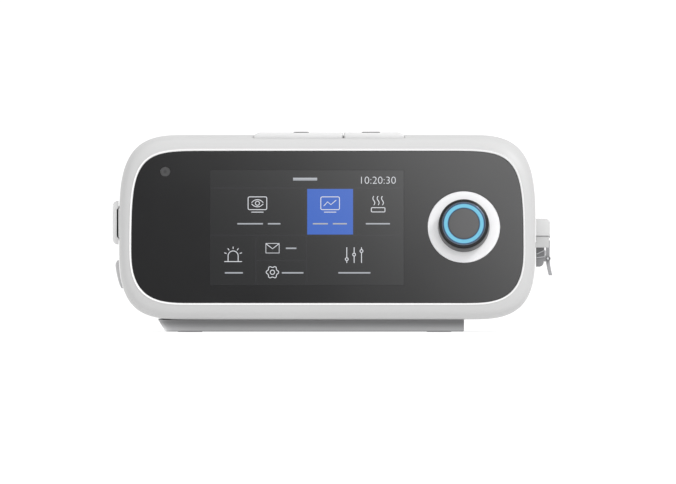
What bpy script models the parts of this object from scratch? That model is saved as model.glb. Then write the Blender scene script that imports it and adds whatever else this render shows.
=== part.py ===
# Bilevel airway pressure machine with a tilted touch screen panel, a turn-and-press knob,
# two keys on top, a filter door, a card flap and a heated water drawer behind a latch.
# The body frame has its zero in the middle of the housing's width, on the table.
from math import asin, cos, pi, radians, sin, tan

import bmesh
import bpy
from mathutils import Vector

# Whole machine.
GAP = 0.0003
RUNNING = 0.00005
BODY_WIDTH = 0.232
BODY_BOTTOM = 0.007
BODY_TOP = 0.1096
FRONT_Y = -0.0718
PARTING = 0.024
REAR_Y = 0.080
WALL = 0.0026
CORNER_WIDTH = 0.0401
CORNER_UP_SHARE = 0.5263
CORNER_DOWN_SHARE = 0.4357
CORNER_POWER = 3.44
PANEL_TILT = radians(9)
CORNER_STEPS = 10
ROUND_STEPS = 18
SMALL_STEPS = 12

# Front panel and screen.
PANEL_SIDE_MARGIN = 0.0069
PANEL_LOW_MARGIN = 0.0092
PANEL_HIGH_MARGIN = 0.0088
PANEL_THICK = 0.0015
PANEL_UP_WIDTH = 0.0597
PANEL_UP_HEIGHT_SHARE = 1.0118
PANEL_UP_REACH_SHARE = 0.6288
PANEL_UP_POWER = 6.57
PANEL_DOWN_WIDTH = 0.0339
PANEL_DOWN_SIDE_POWER = 3.36
PANEL_DOWN_RISE_POWER = 2.86
SCREEN_X = -0.0113
SCREEN_RISE = -0.0002
SCREEN_WIDTH = 0.1080
SCREEN_HEIGHT = 0.0648

# Knob.
KNOB_X = 0.0761
KNOB_RISE = 0.0001
KNOB_RADIUS = 0.0144
KNOB_FRONT = 0.0130
SURROUND_RADIUS = 0.0202
SHAFT_RADIUS = 0.0030
PRESS_TRAVEL = 0.0006

# Keys.
KEY_LEFT_END = -0.0412
KEY_SEAM = 0.0089
KEY_RIGHT_END = 0.0430
KEY_FRONT_Y = -0.0590
KEY_DEPTH = 0.0150
KEY_PROUD = 0.0015
KEY_BOARD_DROP = 0.0094

# Water drawer.
DRAWER_FRONT_Y = -0.036
DRAWER_REAR_Y = 0.044
DRAWER_LOW = 0.0140
DRAWER_HIGH = 0.0500
BAY_BACK_X = 0.012

# Air path.
PORT_Z = 0.0415
BLOWER_PORT_Y = -0.016
OUTLET_PORT_Y = 0.024

# Sizes that follow from the ones above.
body_height = BODY_TOP - BODY_BOTTOM
corner_up = CORNER_UP_SHARE * body_height
corner_down = CORNER_DOWN_SHARE * body_height
panel_width = BODY_WIDTH - 2 * PANEL_SIDE_MARGIN
panel_height = body_height - PANEL_LOW_MARGIN - PANEL_HIGH_MARGIN
panel_z = BODY_BOTTOM + PANEL_LOW_MARGIN + panel_height / 2
panel_up_reach = PANEL_UP_REACH_SHARE * panel_height
key_top = BODY_TOP + KEY_PROUD
key_board_top = BODY_TOP - KEY_BOARD_DROP

model = bpy.data.collections.new("bilevel_airway_machine")
cutters = bpy.data.collections.new("cutters")


# Scene and collections.
def clear_scene():
    for old in list(bpy.data.objects):
        bpy.data.objects.remove(old)
    bpy.context.scene.collection.children.link(model)
    bpy.context.scene.collection.children.link(cutters)


def frame_empty(name, place, turn, parent=None):
    """An empty that carries a group of pieces in its own directions."""
    empty = bpy.data.objects.new(name, None)
    empty.location = place
    empty.rotation_euler = turn
    empty.parent = parent
    empty.empty_display_size = GAP
    model.objects.link(empty)
    bpy.context.view_layer.update()
    return empty


def material(name, colour, rough=0.5, metallic=0.0, see_through=0.0):
    made = bpy.data.materials.new(name)
    made.use_nodes = True
    shader = made.node_tree.nodes["Principled BSDF"]
    shader.inputs["Base Color"].default_value = (*colour, 1.0)
    shader.inputs["Roughness"].default_value = rough
    shader.inputs["Metallic"].default_value = metallic
    shader.inputs["Transmission Weight"].default_value = see_through
    made.diffuse_color = (*colour, 1.0)
    return made


def place_in(item, colour, parent, place):
    item.parent = parent
    item.location = place
    if colour is None:
        cutters.objects.link(item)
        item.hide_render = True
        item.display_type = "WIRE"
    else:
        model.objects.link(item)
        item.data.materials.append(colour)
    return item


def mesh_piece(name, points, faces, colour, parent, place=(0, 0, 0), sharp=35):
    mesh = bpy.data.meshes.new(name)
    mesh.from_pydata(points, [], faces)
    bm = bmesh.new()
    bm.from_mesh(mesh)
    bmesh.ops.recalc_face_normals(bm, faces=bm.faces)
    bm.to_mesh(mesh)
    bm.free()
    mesh.shade_smooth()
    mesh.set_sharp_from_angle(angle=radians(sharp))
    return place_in(bpy.data.objects.new(name, mesh), colour, parent, place)


def loft(name, rings, colour, parent, place=(0, 0, 0), closed=False, sharp=35):
    """A skin over rings of matching points, with flat ends or closed into a tube."""
    count = len(rings[0])
    points = [point for ring in rings for point in ring]
    bands = len(rings) if closed else len(rings) - 1
    faces = []
    for band in range(bands):
        low = band * count
        high = (band + 1) % len(rings) * count
        for step in range(count):
            after = (step + 1) % count
            faces.append((low + step, low + after, high + after, high + step))
    if not closed:
        faces.append(tuple(range(count))[::-1])
        faces.append(tuple(range(len(points) - count, len(points))))
    return mesh_piece(name, points, faces, colour, parent, place, sharp)


def slab(name, outline, low, high, colour, parent, place=(0, 0, 0), holes=()):
    """A flat piece from an outline in X and Y, between two heights, with holes right through."""
    curve = bpy.data.curves.new(name, "CURVE")
    curve.dimensions = "2D"
    curve.fill_mode = "BOTH"
    curve.extrude = (high - low) / 2
    for shape in (outline, *holes):
        spline = curve.splines.new("POLY")
        spline.points.add(len(shape) - 1)
        spline.use_cyclic_u = True
        for point, (across, along) in zip(spline.points, shape):
            point.co = (across, along, 0, 1)
    guide = bpy.data.objects.new(name + "_outline", curve)
    model.objects.link(guide)
    bpy.context.view_layer.update()
    graph = bpy.context.evaluated_depsgraph_get()
    mesh = bpy.data.meshes.new_from_object(guide.evaluated_get(graph))
    bpy.data.objects.remove(guide)
    bm = bmesh.new()
    bm.from_mesh(mesh)
    bmesh.ops.remove_doubles(bm, verts=bm.verts, dist=GAP / 100)
    bmesh.ops.translate(bm, verts=bm.verts, vec=(0, 0, (high + low) / 2))
    bmesh.ops.recalc_face_normals(bm, faces=bm.faces)
    bm.to_mesh(mesh)
    bm.free()
    mesh.materials.clear()
    mesh.name = name
    mesh.shade_smooth()
    mesh.set_sharp_from_angle(angle=radians(35))
    return place_in(bpy.data.objects.new(name, mesh), colour, parent, place)


def turned(name, profile, colour, parent, place=(0, 0, 0), turn=(0, 0, 0), steps=ROUND_STEPS):
    """A round piece from a profile of radius and height that runs down its outer side."""
    mesh = bpy.data.meshes.new(name)
    edges = [(step, step + 1) for step in range(len(profile) - 1)]
    if profile[0][0] > 0 and profile[-1][0] > 0:
        edges.append((len(profile) - 1, 0))
    mesh.from_pydata([(radius, 0, height) for radius, height in profile], edges, [])
    item = place_in(bpy.data.objects.new(name, mesh), colour, parent, place)
    item.rotation_euler = turn
    screw = item.modifiers.new("turn", "SCREW")
    screw.steps = steps
    screw.render_steps = steps
    screw.use_merge_vertices = True
    screw.merge_threshold = GAP / 30
    screw.use_smooth_shade = True
    return item


def block(name, low, high, colour, parent, rounding=0, segments=2):
    """A box between two corners, with its edges rounded."""
    bm = bmesh.new()
    bmesh.ops.create_cube(bm, size=1)
    size = Vector(high) - Vector(low)
    bmesh.ops.scale(bm, vec=size, verts=bm.verts)
    mesh = bpy.data.meshes.new(name)
    bm.to_mesh(mesh)
    bm.free()
    middle = (Vector(high) + Vector(low)) / 2
    item = place_in(bpy.data.objects.new(name, mesh), colour, parent, middle)
    if rounding:
        bevel = item.modifiers.new("round", "BEVEL")
        bevel.width = rounding
        bevel.segments = segments
    return item


def boolean(item, other, operation):
    change = item.modifiers.new(other.name, "BOOLEAN")
    change.operation = operation
    change.object = other
    change.solver = "EXACT"
    return item


def cut(item, *others):
    for other in others:
        boolean(item, other, "DIFFERENCE")


def join(item, *others):
    for other in others:
        boolean(item, other, "UNION")


def rod(name, radius, low, high, colour, parent, place, turn=(0, 0, 0), steps=ROUND_STEPS):
    return turned(name, [(0, high), (radius, high), (radius, low), (0, low)], colour, parent,
                  place, turn, steps)


# Outlines.
def corner(width, height, side_power, rise_power, reach):
    """Offsets from the side and the level edge of a soft corner, from the side round to the edge."""
    first = asin((1 - reach / height) ** (rise_power / 2)) if reach < height else 0
    offsets = []
    for step in range(CORNER_STEPS + 1):
        angle = first + (pi / 2 - first) * step / CORNER_STEPS
        across = width * (1 - abs(cos(angle)) ** (2 / side_power))
        rise = height * (1 - sin(angle) ** (2 / rise_power))
        offsets.append((across, rise))
    return offsets


def soft_outline(half, low, high, upper, lower):
    """A closed outline in X and Z from an upper and a lower corner, the same on both sides."""
    right_up = [(half - across, high - rise) for across, rise in upper]
    right_down = [(half - across, low + rise) for across, rise in lower]
    left_up = [(-across, rise) for across, rise in reversed(right_up)]
    left_down = [(-across, rise) for across, rise in right_down]
    return right_up + left_up + left_down + right_down[::-1]


def grown(outline, amount):
    """The outline moved outwards square to itself, or inwards for a negative amount."""
    moved = []
    count = len(outline)
    for step in range(count):
        before = Vector(outline[step - 1])
        after = Vector(outline[(step + 1) % count])
        run = (after - before).normalized()
        here = Vector(outline[step])
        moved.append(tuple(here + Vector((run.y, -run.x)) * amount))
    return moved


def blend(inner, outer, share):
    return [
        (a * (1 - share) + c * share, b * (1 - share) + d * share)
        for (a, b), (c, d) in zip(inner, outer)
    ]


def rounded_rectangle(left, right, low, high, radius, steps=4):
    outline = []
    middles = (
        (right - radius, high - radius, 0),
        (left + radius, high - radius, 1),
        (left + radius, low + radius, 2),
        (right - radius, low + radius, 3),
    )
    for across, rise, quarter in middles:
        for step in range(steps + 1):
            angle = pi / 2 * (quarter + step / steps)
            outline.append((across + radius * cos(angle), rise + radius * sin(angle)))
    return outline


def circle(across, rise, radius, steps=ROUND_STEPS):
    return [
        (across + radius * cos(2 * pi * step / steps), rise + radius * sin(2 * pi * step / steps))
        for step in range(steps)
    ]


body_corner_up = corner(CORNER_WIDTH, corner_up, CORNER_POWER, CORNER_POWER, corner_up)
body_corner_down = corner(CORNER_WIDTH, corner_down, CORNER_POWER, CORNER_POWER, corner_down)
body_outline = soft_outline(
    BODY_WIDTH / 2, BODY_BOTTOM, BODY_TOP, body_corner_up, body_corner_down
)
panel_down_height = panel_height - panel_up_reach
panel_corner_up = corner(
    PANEL_UP_WIDTH,
    PANEL_UP_HEIGHT_SHARE * panel_height,
    PANEL_UP_POWER,
    PANEL_UP_POWER,
    panel_up_reach,
)
panel_corner_down = corner(
    PANEL_DOWN_WIDTH,
    panel_down_height,
    PANEL_DOWN_SIDE_POWER,
    PANEL_DOWN_RISE_POWER,
    panel_down_height,
)
panel_outline = soft_outline(
    panel_width / 2,
    panel_z - panel_height / 2,
    panel_z + panel_height / 2,
    panel_corner_up,
    panel_corner_down,
)


def front_ring(outline, back=0, inward=0):
    """The outline on the tilted front, moved back level by one amount and square to it by another."""
    return [
        (
            across,
            FRONT_Y + (rise - panel_z) * tan(PANEL_TILT) + back + inward * cos(PANEL_TILT),
            rise - inward * sin(PANEL_TILT),
        )
        for across, rise in outline
    ]


def upright_ring(outline, y):
    return [(across, y, rise) for across, rise in outline]


def in_panel(outline):
    """The outline, seen level from the front, as it lies in the tilted panel's own plane."""
    return [(across, (rise - panel_z) / cos(PANEL_TILT)) for across, rise in outline]


def body_side(rise):
    """Half the housing's width at a height."""
    if rise >= BODY_TOP - corner_up:
        share = (rise - BODY_TOP + corner_up) / corner_up
    else:
        share = max(0, BODY_BOTTOM + corner_down - rise) / corner_down
    drawn_in = CORNER_WIDTH * (1 - (1 - share**CORNER_POWER) ** (1 / CORNER_POWER))
    return BODY_WIDTH / 2 - drawn_in


clear_scene()

white = material("white_abs", (0.80, 0.80, 0.81), 0.45)
soft_white = material("light_grey_abs", (0.62, 0.63, 0.64), 0.5)
shell_grey = material("pedestal_grey_abs", (0.36, 0.36, 0.37), 0.5)
panel_black = material("black_acrylic", (0.020, 0.020, 0.021), 0.15)
screen_clear = material("screen_glass", (0.035, 0.036, 0.040), 0.08)
sensor_dark = material("sensor_lens", (0.09, 0.09, 0.09), 0.2)
knob_black = material("knob_black", (0.012, 0.012, 0.013), 0.4)
knob_grey = material("knob_face_grey", (0.15, 0.15, 0.16), 0.35)
halo_blue = material("halo_blue", (0.13, 0.60, 0.90), 0.3)
trim_metal = material("trim_metal", (0.35, 0.33, 0.38), 0.3, 1.0)
ring_white = material("ring_white", (0.90, 0.90, 0.90), 0.4)
rubber_grey = material("grey_silicone", (0.42, 0.42, 0.43), 0.7)
rubber_dark = material("dark_rubber", (0.05, 0.05, 0.05), 0.8)
bracket_grey = material("latch_grey", (0.24, 0.24, 0.25), 0.45)
steel = material("steel", (0.55, 0.55, 0.56), 0.3, 1.0)
aluminium = material("aluminium", (0.75, 0.75, 0.76), 0.35, 1.0)
board_green = material("circuit_board", (0.03, 0.18, 0.08), 0.5)
part_black = material("black_plastic", (0.03, 0.03, 0.03), 0.5)
foam_grey = material("open_foam", (0.16, 0.16, 0.17), 0.95)
filter_blue = material("filter_fleece", (0.55, 0.66, 0.78), 0.95)
tub_clear = material("clear_copolyester", (0.62, 0.70, 0.74), 0.1, 0.0, 0.8)
duct_white = material("duct_white", (0.70, 0.71, 0.72), 0.5)
copper = material("copper", (0.70, 0.32, 0.16), 0.35, 1.0)

# The origin of the part is the middle of its box, on the table.
HOOD_PROUD = 0.0081
LEVER_REACH = 0.0013
FILTER_DOOR_PROUD = 0.0036
OUTLET_END = 0.098
hood_outer = BODY_WIDTH / 2 + HOOD_PROUD
door_outer = BODY_WIDTH / 2 + FILTER_DOOR_PROUD
knob_lean = (KNOB_FRONT + KNOB_RADIUS * tan(PANEL_TILT)) * cos(PANEL_TILT)
box_middle_x = (hood_outer + LEVER_REACH - door_outer) / 2
box_middle_y = (OUTLET_END + FRONT_Y - knob_lean) / 2
body = frame_empty("body_frame", (-box_middle_x, -box_middle_y, 0), (0, 0, 0))
front = frame_empty("front_frame", (0, FRONT_Y, panel_z), (pi / 2 - PANEL_TILT, 0, 0), body)


# Front bezel: moulded frame whose lip round the panel is chamfered, closed by the rear housing.
RIM_WIDTH = 0.0012
RIM_PROUD = 0.0004
LEDGE_WIDTH = 0.0040
LEDGE_THICK = 0.0022
EDGE_BREAK = 0.0006
BROW = 0.0140
seat = PANEL_THICK + GAP
rim_outline = grown(panel_outline, RIM_WIDTH)
ledge_outline = grown(panel_outline, -LEDGE_WIDTH)
inner_body = grown(body_outline, -WALL)
brow_shares = ((0.30, 0.04), (0.58, 0.12), (0.80, 0.27), (0.93, 0.50), (0.985, 0.75), (1.0, 1.0))
bezel_rings = [
    front_ring(ledge_outline, 0, seat),
    front_ring(grown(panel_outline, GAP), 0, seat),
    front_ring(grown(panel_outline, GAP), 0, EDGE_BREAK),
    front_ring(rim_outline, 0, -RIM_PROUD),
]
for share, depth_share in brow_shares:
    bezel_rings.append(front_ring(blend(rim_outline, body_outline, share), BROW * depth_share))
bezel_rings += [
    front_ring(body_outline, PARTING - EDGE_BREAK),
    front_ring(grown(body_outline, -EDGE_BREAK), PARTING),
    front_ring(inner_body, PARTING),
    front_ring(inner_body, BROW),
    front_ring(blend(panel_outline, inner_body, 0.8), BROW / 2),
    front_ring(panel_outline, 0, seat + LEDGE_THICK),
    front_ring(ledge_outline, 0, seat + LEDGE_THICK),
]
front_bezel = loft("front_bezel", bezel_rings, white, body, closed=True)

key_opening = block(
    "key_opening_cut",
    (KEY_LEFT_END - GAP, KEY_FRONT_Y - GAP, BODY_TOP - 2 * WALL),
    (KEY_RIGHT_END + GAP, KEY_FRONT_Y + KEY_DEPTH + GAP, BODY_TOP + WALL),
    None,
    body,
)
cut(front_bezel, key_opening)

# Posts under the bezel's top wall carry the key board.
POST_RADIUS = 0.0022
POST_BEYOND = 0.0060
post_y = KEY_FRONT_Y + KEY_DEPTH / 2
post_places = (KEY_LEFT_END - POST_BEYOND, KEY_RIGHT_END + POST_BEYOND)
for side, post_x in zip(("left", "right"), post_places):
    post = rod(side + "_key_post", POST_RADIUS, key_board_top + GAP, BODY_TOP - WALL / 2, None,
               body, (post_x, post_y, 0), steps=8)
    join(front_bezel, post)


# Front panel: black printed sheet with the screen window, the sensor hole and the knob hole.
SENSOR_X = -0.0903
SENSOR_RISE = 0.0313
SENSOR_RADIUS = 0.0027
window_half = SCREEN_WIDTH / 2 + GAP
window_rise = SCREEN_HEIGHT / 2 + GAP
window = [
    (SCREEN_X - window_half, SCREEN_RISE - window_rise),
    (SCREEN_X + window_half, SCREEN_RISE - window_rise),
    (SCREEN_X + window_half, SCREEN_RISE + window_rise),
    (SCREEN_X - window_half, SCREEN_RISE + window_rise),
]
slab(
    "front_panel",
    in_panel(panel_outline),
    -PANEL_THICK,
    0,
    panel_black,
    front,
    holes=(
        window,
        circle(SENSOR_X, SENSOR_RISE, SENSOR_RADIUS + GAP, 16),
        circle(KNOB_X, KNOB_RISE, SURROUND_RADIUS + GAP, 2 * ROUND_STEPS),
    ),
)
screen_outline = [
    (SCREEN_X - SCREEN_WIDTH / 2, SCREEN_RISE - SCREEN_HEIGHT / 2),
    (SCREEN_X + SCREEN_WIDTH / 2, SCREEN_RISE - SCREEN_HEIGHT / 2),
    (SCREEN_X + SCREEN_WIDTH / 2, SCREEN_RISE + SCREEN_HEIGHT / 2),
    (SCREEN_X - SCREEN_WIDTH / 2, SCREEN_RISE + SCREEN_HEIGHT / 2),
]
slab("screen_glass", screen_outline, -PANEL_THICK, 0, screen_clear, front)
rod("sensor_window", SENSOR_RADIUS, -PANEL_THICK, 0, sensor_dark, front,
    (SENSOR_X, SENSOR_RISE, 0), steps=16)

# Display module behind the window, held by a sheet bracket that rests on the bezel's ledge.
MODULE_BORDER = 0.0030
MODULE_THICK = 0.0042
BRACKET_THICK = 0.0012
BRACKET_CLEAR = 0.0006
BOARD_THICK = 0.0016
module_front = -PANEL_THICK - GAP
module_low = (
    SCREEN_X - SCREEN_WIDTH / 2 - MODULE_BORDER,
    SCREEN_RISE - SCREEN_HEIGHT / 2 - MODULE_BORDER,
)
module_high = (
    SCREEN_X + SCREEN_WIDTH / 2 + MODULE_BORDER,
    SCREEN_RISE + SCREEN_HEIGHT / 2 + MODULE_BORDER,
)
block(
    "display_module",
    (*module_low, module_front - MODULE_THICK),
    (*module_high, module_front),
    part_black,
    front,
)
bracket_top = -seat - LEDGE_THICK - GAP
ENCODER_SIDE = 0.0140
encoder_room = ENCODER_SIDE / 2 + 2 * BRACKET_CLEAR
display_bracket = slab(
    "display_bracket",
    in_panel(grown(panel_outline, -EDGE_BREAK * 3)),
    bracket_top - BRACKET_THICK,
    bracket_top,
    steel,
    front,
    holes=(
        rounded_rectangle(
            module_low[0] - BRACKET_CLEAR,
            module_high[0] + BRACKET_CLEAR,
            module_low[1] - BRACKET_CLEAR,
            module_high[1] + BRACKET_CLEAR,
            BRACKET_CLEAR,
            1,
        ),
        rounded_rectangle(
            KNOB_X - encoder_room,
            KNOB_X + encoder_room,
            KNOB_RISE - encoder_room,
            KNOB_RISE + encoder_room,
            BRACKET_CLEAR,
            1,
        ),
    ),
)
BOARD_DROP = 0.0026
board_front = bracket_top - BRACKET_THICK - BOARD_DROP
STANDOFF_RADIUS = 0.0020
BOARD_LEFT = -0.0820
BOARD_RIGHT = 0.0940
BOARD_HALF_HEIGHT = 0.0300
STANDOFF_INSET = 0.0040
standoff_x = (BOARD_LEFT + STANDOFF_INSET, BOARD_RIGHT - STANDOFF_INSET)
standoff_rise = BOARD_HALF_HEIGHT - STANDOFF_INSET
for number, (post_x, post_rise) in enumerate(
    ((standoff_x[0], -standoff_rise), (standoff_x[0], standoff_rise),
     (standoff_x[1], -standoff_rise), (standoff_x[1], standoff_rise))
):
    standoff = rod("standoff_%d" % number, STANDOFF_RADIUS, board_front + GAP,
                   bracket_top - BRACKET_THICK / 2, None, front, (post_x, post_rise, 0), steps=8)
    join(display_bracket, standoff)
block(
    "interface_board",
    (BOARD_LEFT, -BOARD_HALF_HEIGHT, board_front - BOARD_THICK),
    (BOARD_RIGHT, BOARD_HALF_HEIGHT, board_front),
    board_green,
    front,
)

# Knob surround: flat white ring let into the panel, lit from behind.
BUSHING_RADIUS = 0.0052
BUSHING_BORE = 0.0041
turned(
    "knob_surround",
    [
        (SURROUND_RADIUS - EDGE_BREAK, 0),
        (SURROUND_RADIUS, -EDGE_BREAK),
        (SURROUND_RADIUS, -PANEL_THICK),
        (BUSHING_RADIUS + GAP, -PANEL_THICK),
        (BUSHING_RADIUS + GAP, 0),
    ],
    ring_white,
    front,
    (KNOB_X, KNOB_RISE, 0),
    steps=2 * ROUND_STEPS,
)

# Encoder: body on the board, a sleeve that is pressed in and a shaft that turns in the sleeve.
BUSHING_TOP = 0.0004
encoder_top = -PANEL_THICK - 2 * GAP
encoder_body = slab(
    "encoder_body",
    rounded_rectangle(-ENCODER_SIDE / 2, ENCODER_SIDE / 2, -ENCODER_SIDE / 2, ENCODER_SIDE / 2,
                      EDGE_BREAK, 1),
    board_front + GAP,
    encoder_top,
    part_black,
    front,
    (KNOB_X, KNOB_RISE, 0),
    holes=(circle(0, 0, BUSHING_BORE, 2 * SMALL_STEPS),),
)
bushing = turned(
    "encoder_bushing",
    [
        (BUSHING_RADIUS, BUSHING_TOP),
        (BUSHING_RADIUS, encoder_top - EDGE_BREAK),
        (BUSHING_BORE, encoder_top - EDGE_BREAK),
        (BUSHING_BORE, BUSHING_TOP),
    ],
    None,
    front,
    (KNOB_X, KNOB_RISE, 0),
    steps=2 * SMALL_STEPS,
)
join(encoder_body, bushing)
SLEEVE_PROUD = 0.0003
sleeve_low = board_front + GAP + PRESS_TRAVEL + 2 * GAP
turned(
    "encoder_sleeve",
    [
        (BUSHING_BORE - RUNNING, BUSHING_TOP + SLEEVE_PROUD),
        (BUSHING_BORE - RUNNING, sleeve_low),
        (SHAFT_RADIUS + RUNNING, sleeve_low),
        (SHAFT_RADIUS + RUNNING, BUSHING_TOP + SLEEVE_PROUD),
    ],
    steel,
    front,
    (KNOB_X, KNOB_RISE, 0),
    steps=2 * SMALL_STEPS,
)
SHAFT_TOP = 0.0100
rod("knob_shaft", SHAFT_RADIUS, sleeve_low, SHAFT_TOP, steel, front,
    (KNOB_X, KNOB_RISE, 0), steps=2 * SMALL_STEPS)

# Knob: black body with a lit blue halo between a thin metal trim ring and a grey face.
KNOB_LIFT = 0.0014
KNOB_DRAFT = 0.0005
KNOB_ROUND = 0.0012
KNOB_WALL = 0.0020
HUB_RADIUS = 0.0062
FACE_RADIUS = 0.0087
HALO_OUTER = 0.0114
TRIM_OUTER = 0.0122
POCKET_DEPTH = 0.0014
SKIN = 0.0016
pocket_floor = KNOB_FRONT - POCKET_DEPTH
ceiling = pocket_floor - SKIN
knob_top_radius = KNOB_RADIUS - KNOB_DRAFT
turned(
    "knob_body",
    [
        (0, pocket_floor),
        (TRIM_OUTER + GAP, pocket_floor),
        (TRIM_OUTER + GAP, KNOB_FRONT),
        (knob_top_radius - KNOB_ROUND / 2, KNOB_FRONT - KNOB_ROUND / 8),
        (knob_top_radius, KNOB_FRONT - KNOB_ROUND),
        (KNOB_RADIUS, KNOB_LIFT + KNOB_ROUND),
        (KNOB_RADIUS - KNOB_DRAFT, KNOB_LIFT),
        (KNOB_RADIUS - KNOB_WALL, KNOB_LIFT),
        (knob_top_radius - KNOB_WALL, ceiling),
        (HUB_RADIUS, ceiling),
        (HUB_RADIUS, KNOB_LIFT),
        (SHAFT_RADIUS + GAP, KNOB_LIFT),
        (SHAFT_RADIUS + GAP, SHAFT_TOP + GAP),
        (0, SHAFT_TOP + GAP),
    ],
    knob_black,
    front,
    (KNOB_X, KNOB_RISE, 0),
    steps=2 * ROUND_STEPS,
)
turned(
    "knob_trim_ring",
    [
        (TRIM_OUTER, KNOB_FRONT),
        (TRIM_OUTER, pocket_floor + GAP),
        (HALO_OUTER + GAP, pocket_floor + GAP),
        (HALO_OUTER + GAP, KNOB_FRONT),
    ],
    trim_metal,
    front,
    (KNOB_X, KNOB_RISE, 0),
    steps=2 * ROUND_STEPS,
)
turned(
    "knob_halo",
    [
        (HALO_OUTER, KNOB_FRONT - GAP),
        (HALO_OUTER, pocket_floor + GAP),
        (FACE_RADIUS + GAP / 2, pocket_floor + GAP),
        (FACE_RADIUS + GAP / 2, KNOB_FRONT - GAP),
    ],
    halo_blue,
    front,
    (KNOB_X, KNOB_RISE, 0),
    steps=2 * ROUND_STEPS,
)
turned(
    "knob_face",
    [
        (0, KNOB_FRONT),
        (FACE_RADIUS - EDGE_BREAK, KNOB_FRONT - GAP / 3),
        (FACE_RADIUS - GAP / 2, KNOB_FRONT - GAP),
        (FACE_RADIUS - GAP / 2, pocket_floor + GAP),
        (0, pocket_floor + GAP),
    ],
    knob_grey,
    front,
    (KNOB_X, KNOB_RISE, 0),
    steps=2 * ROUND_STEPS,
)


# Keys: caps with sloping outer ends, a flange under the wall and a stem on the switch.
KEY_SLOPE = 0.0032
KEY_ROUND = 0.0007
KEY_SPLIT = 0.0006
FLANGE = 0.0012
FLANGE_THICK = 0.0010
FLANGE_SIDE_IN = 0.0042
FLANGE_DROP = 0.0011
SWITCH_HALF = 0.0030
STEM_RADIUS = 0.0018
KEY_TRAVEL = 0.0008
flange_top = BODY_TOP - WALL - FLANGE_DROP
flange_low = flange_top - FLANGE_THICK
SWITCH_HEIGHT = 0.0030
switch_top = key_board_top + GAP + SWITCH_HEIGHT


def key(name, left, right, slope_left, slope_right):
    near = KEY_FRONT_Y
    far = KEY_FRONT_Y + KEY_DEPTH

    def ring(z, ends_in, sides_in):
        outline = rounded_rectangle(
            left + ends_in * slope_left,
            right - ends_in * slope_right,
            near + sides_in,
            far - sides_in,
            KEY_ROUND * 2,
            2,
        )
        return [(across, along, z) for across, along in outline]

    slope_z = BODY_TOP - KEY_ROUND
    rings = [
        ring(flange_low, -FLANGE, FLANGE_SIDE_IN),
        ring(flange_top, -FLANGE, FLANGE_SIDE_IN),
        ring(flange_top + GAP / 10, 0, 0),
        ring(slope_z, 0, 0),
        ring(key_top - KEY_ROUND / 2, KEY_SLOPE * 0.75, KEY_ROUND / 2),
        ring(key_top, KEY_SLOPE, KEY_ROUND * 2),
    ]
    cap = loft(name, rings, white, body)
    middle = (left + right) / 2
    stem_low = switch_top + GAP
    stem = rod(name + "_stem", STEM_RADIUS, stem_low, flange_low + FLANGE_THICK / 2, None, body,
               (middle, (near + far) / 2, 0), steps=12)
    join(cap, stem)
    switch = block(
        name + "_switch",
        (middle - SWITCH_HALF, (near + far) / 2 - SWITCH_HALF, key_board_top + GAP),
        (middle + SWITCH_HALF, (near + far) / 2 + SWITCH_HALF, switch_top - 2 * KEY_TRAVEL),
        part_black,
        body,
    )
    plunger = rod(name + "_plunger", STEM_RADIUS, key_board_top + 2 * GAP,
                  stem_low - KEY_TRAVEL - 2 * RUNNING, None, body, (middle, (near + far) / 2, 0),
                  steps=12)
    join(switch, plunger)
    return cap


left_cap = key("left_key", KEY_LEFT_END, KEY_SEAM - KEY_SPLIT / 2, 1, 0)
right_cap = key("right_key", KEY_SEAM + KEY_SPLIT / 2, KEY_RIGHT_END, 0, 1)

# Raised marks on the key tops: a ring on the left key, three bars on the right key.
MARK_HEIGHT = 0.0004
MARK_RADIUS = 0.0042
MARK_WIDTH = 0.0009
BAR_HALF = 0.0050
BAR_PITCH = 0.0024
key_middle_y = KEY_FRONT_Y + KEY_DEPTH / 2
left_mark_x = (KEY_LEFT_END + KEY_SLOPE + KEY_SEAM) / 2
right_mark_x = (KEY_SEAM + KEY_RIGHT_END - KEY_SLOPE) / 2
ring_mark = slab(
    "ring_mark",
    circle(left_mark_x, key_middle_y, MARK_RADIUS, 16),
    key_top - MARK_HEIGHT,
    key_top + MARK_HEIGHT,
    None,
    body,
    holes=(circle(left_mark_x, key_middle_y, MARK_RADIUS - MARK_WIDTH, 16),),
)
join(left_cap, ring_mark)
for number in (-1, 0, 1):
    bar_y = key_middle_y + number * BAR_PITCH
    bar_mark = block(
        "bar_mark_%d" % (number + 1),
        (right_mark_x - BAR_HALF, bar_y - MARK_WIDTH / 2, key_top - MARK_HEIGHT),
        (right_mark_x + BAR_HALF, bar_y + MARK_WIDTH / 2, key_top + MARK_HEIGHT),
        None,
        body,
    )
    join(right_cap, bar_mark)


# Key board on the two posts.
BOARD_MARGIN = 0.0030
block(
    "key_board",
    (post_places[0] - BOARD_MARGIN, KEY_FRONT_Y + BOARD_MARGIN, key_board_top - BOARD_THICK),
    (post_places[1] + BOARD_MARGIN, KEY_FRONT_Y + KEY_DEPTH, key_board_top),
    board_green,
    body,
)


# Rear housing: deep moulded cup with a rounded back, open towards the bezel.
LEVEL_Y = 0.048
BACK_INSET = 0.0150
WALL_TURN_POWER = 8
back_shares = ((0.027, 0), (0.093, 0.375), (0.227, 0.69), (0.44, 0.88), (0.69, 0.97), (1, 1))
front_edge = PARTING + GAP
outer_rings = [
    front_ring(grown(body_outline, -EDGE_BREAK), front_edge),
    front_ring(body_outline, front_edge + EDGE_BREAK),
]
inner_rings = [front_ring(inner_body, front_edge)]
for inset_share, depth_share in back_shares:
    y = LEVEL_Y + (REAR_Y - LEVEL_Y) * depth_share
    inset = BACK_INSET * inset_share
    wall_back = WALL * (y / REAR_Y) ** WALL_TURN_POWER
    outer_rings.append(upright_ring(grown(body_outline, -inset), y))
    inner_rings.append(upright_ring(grown(body_outline, -inset - WALL), y - wall_back))
rear_housing = loft("rear_housing", inner_rings[::-1] + outer_rings, white, body)

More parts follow.
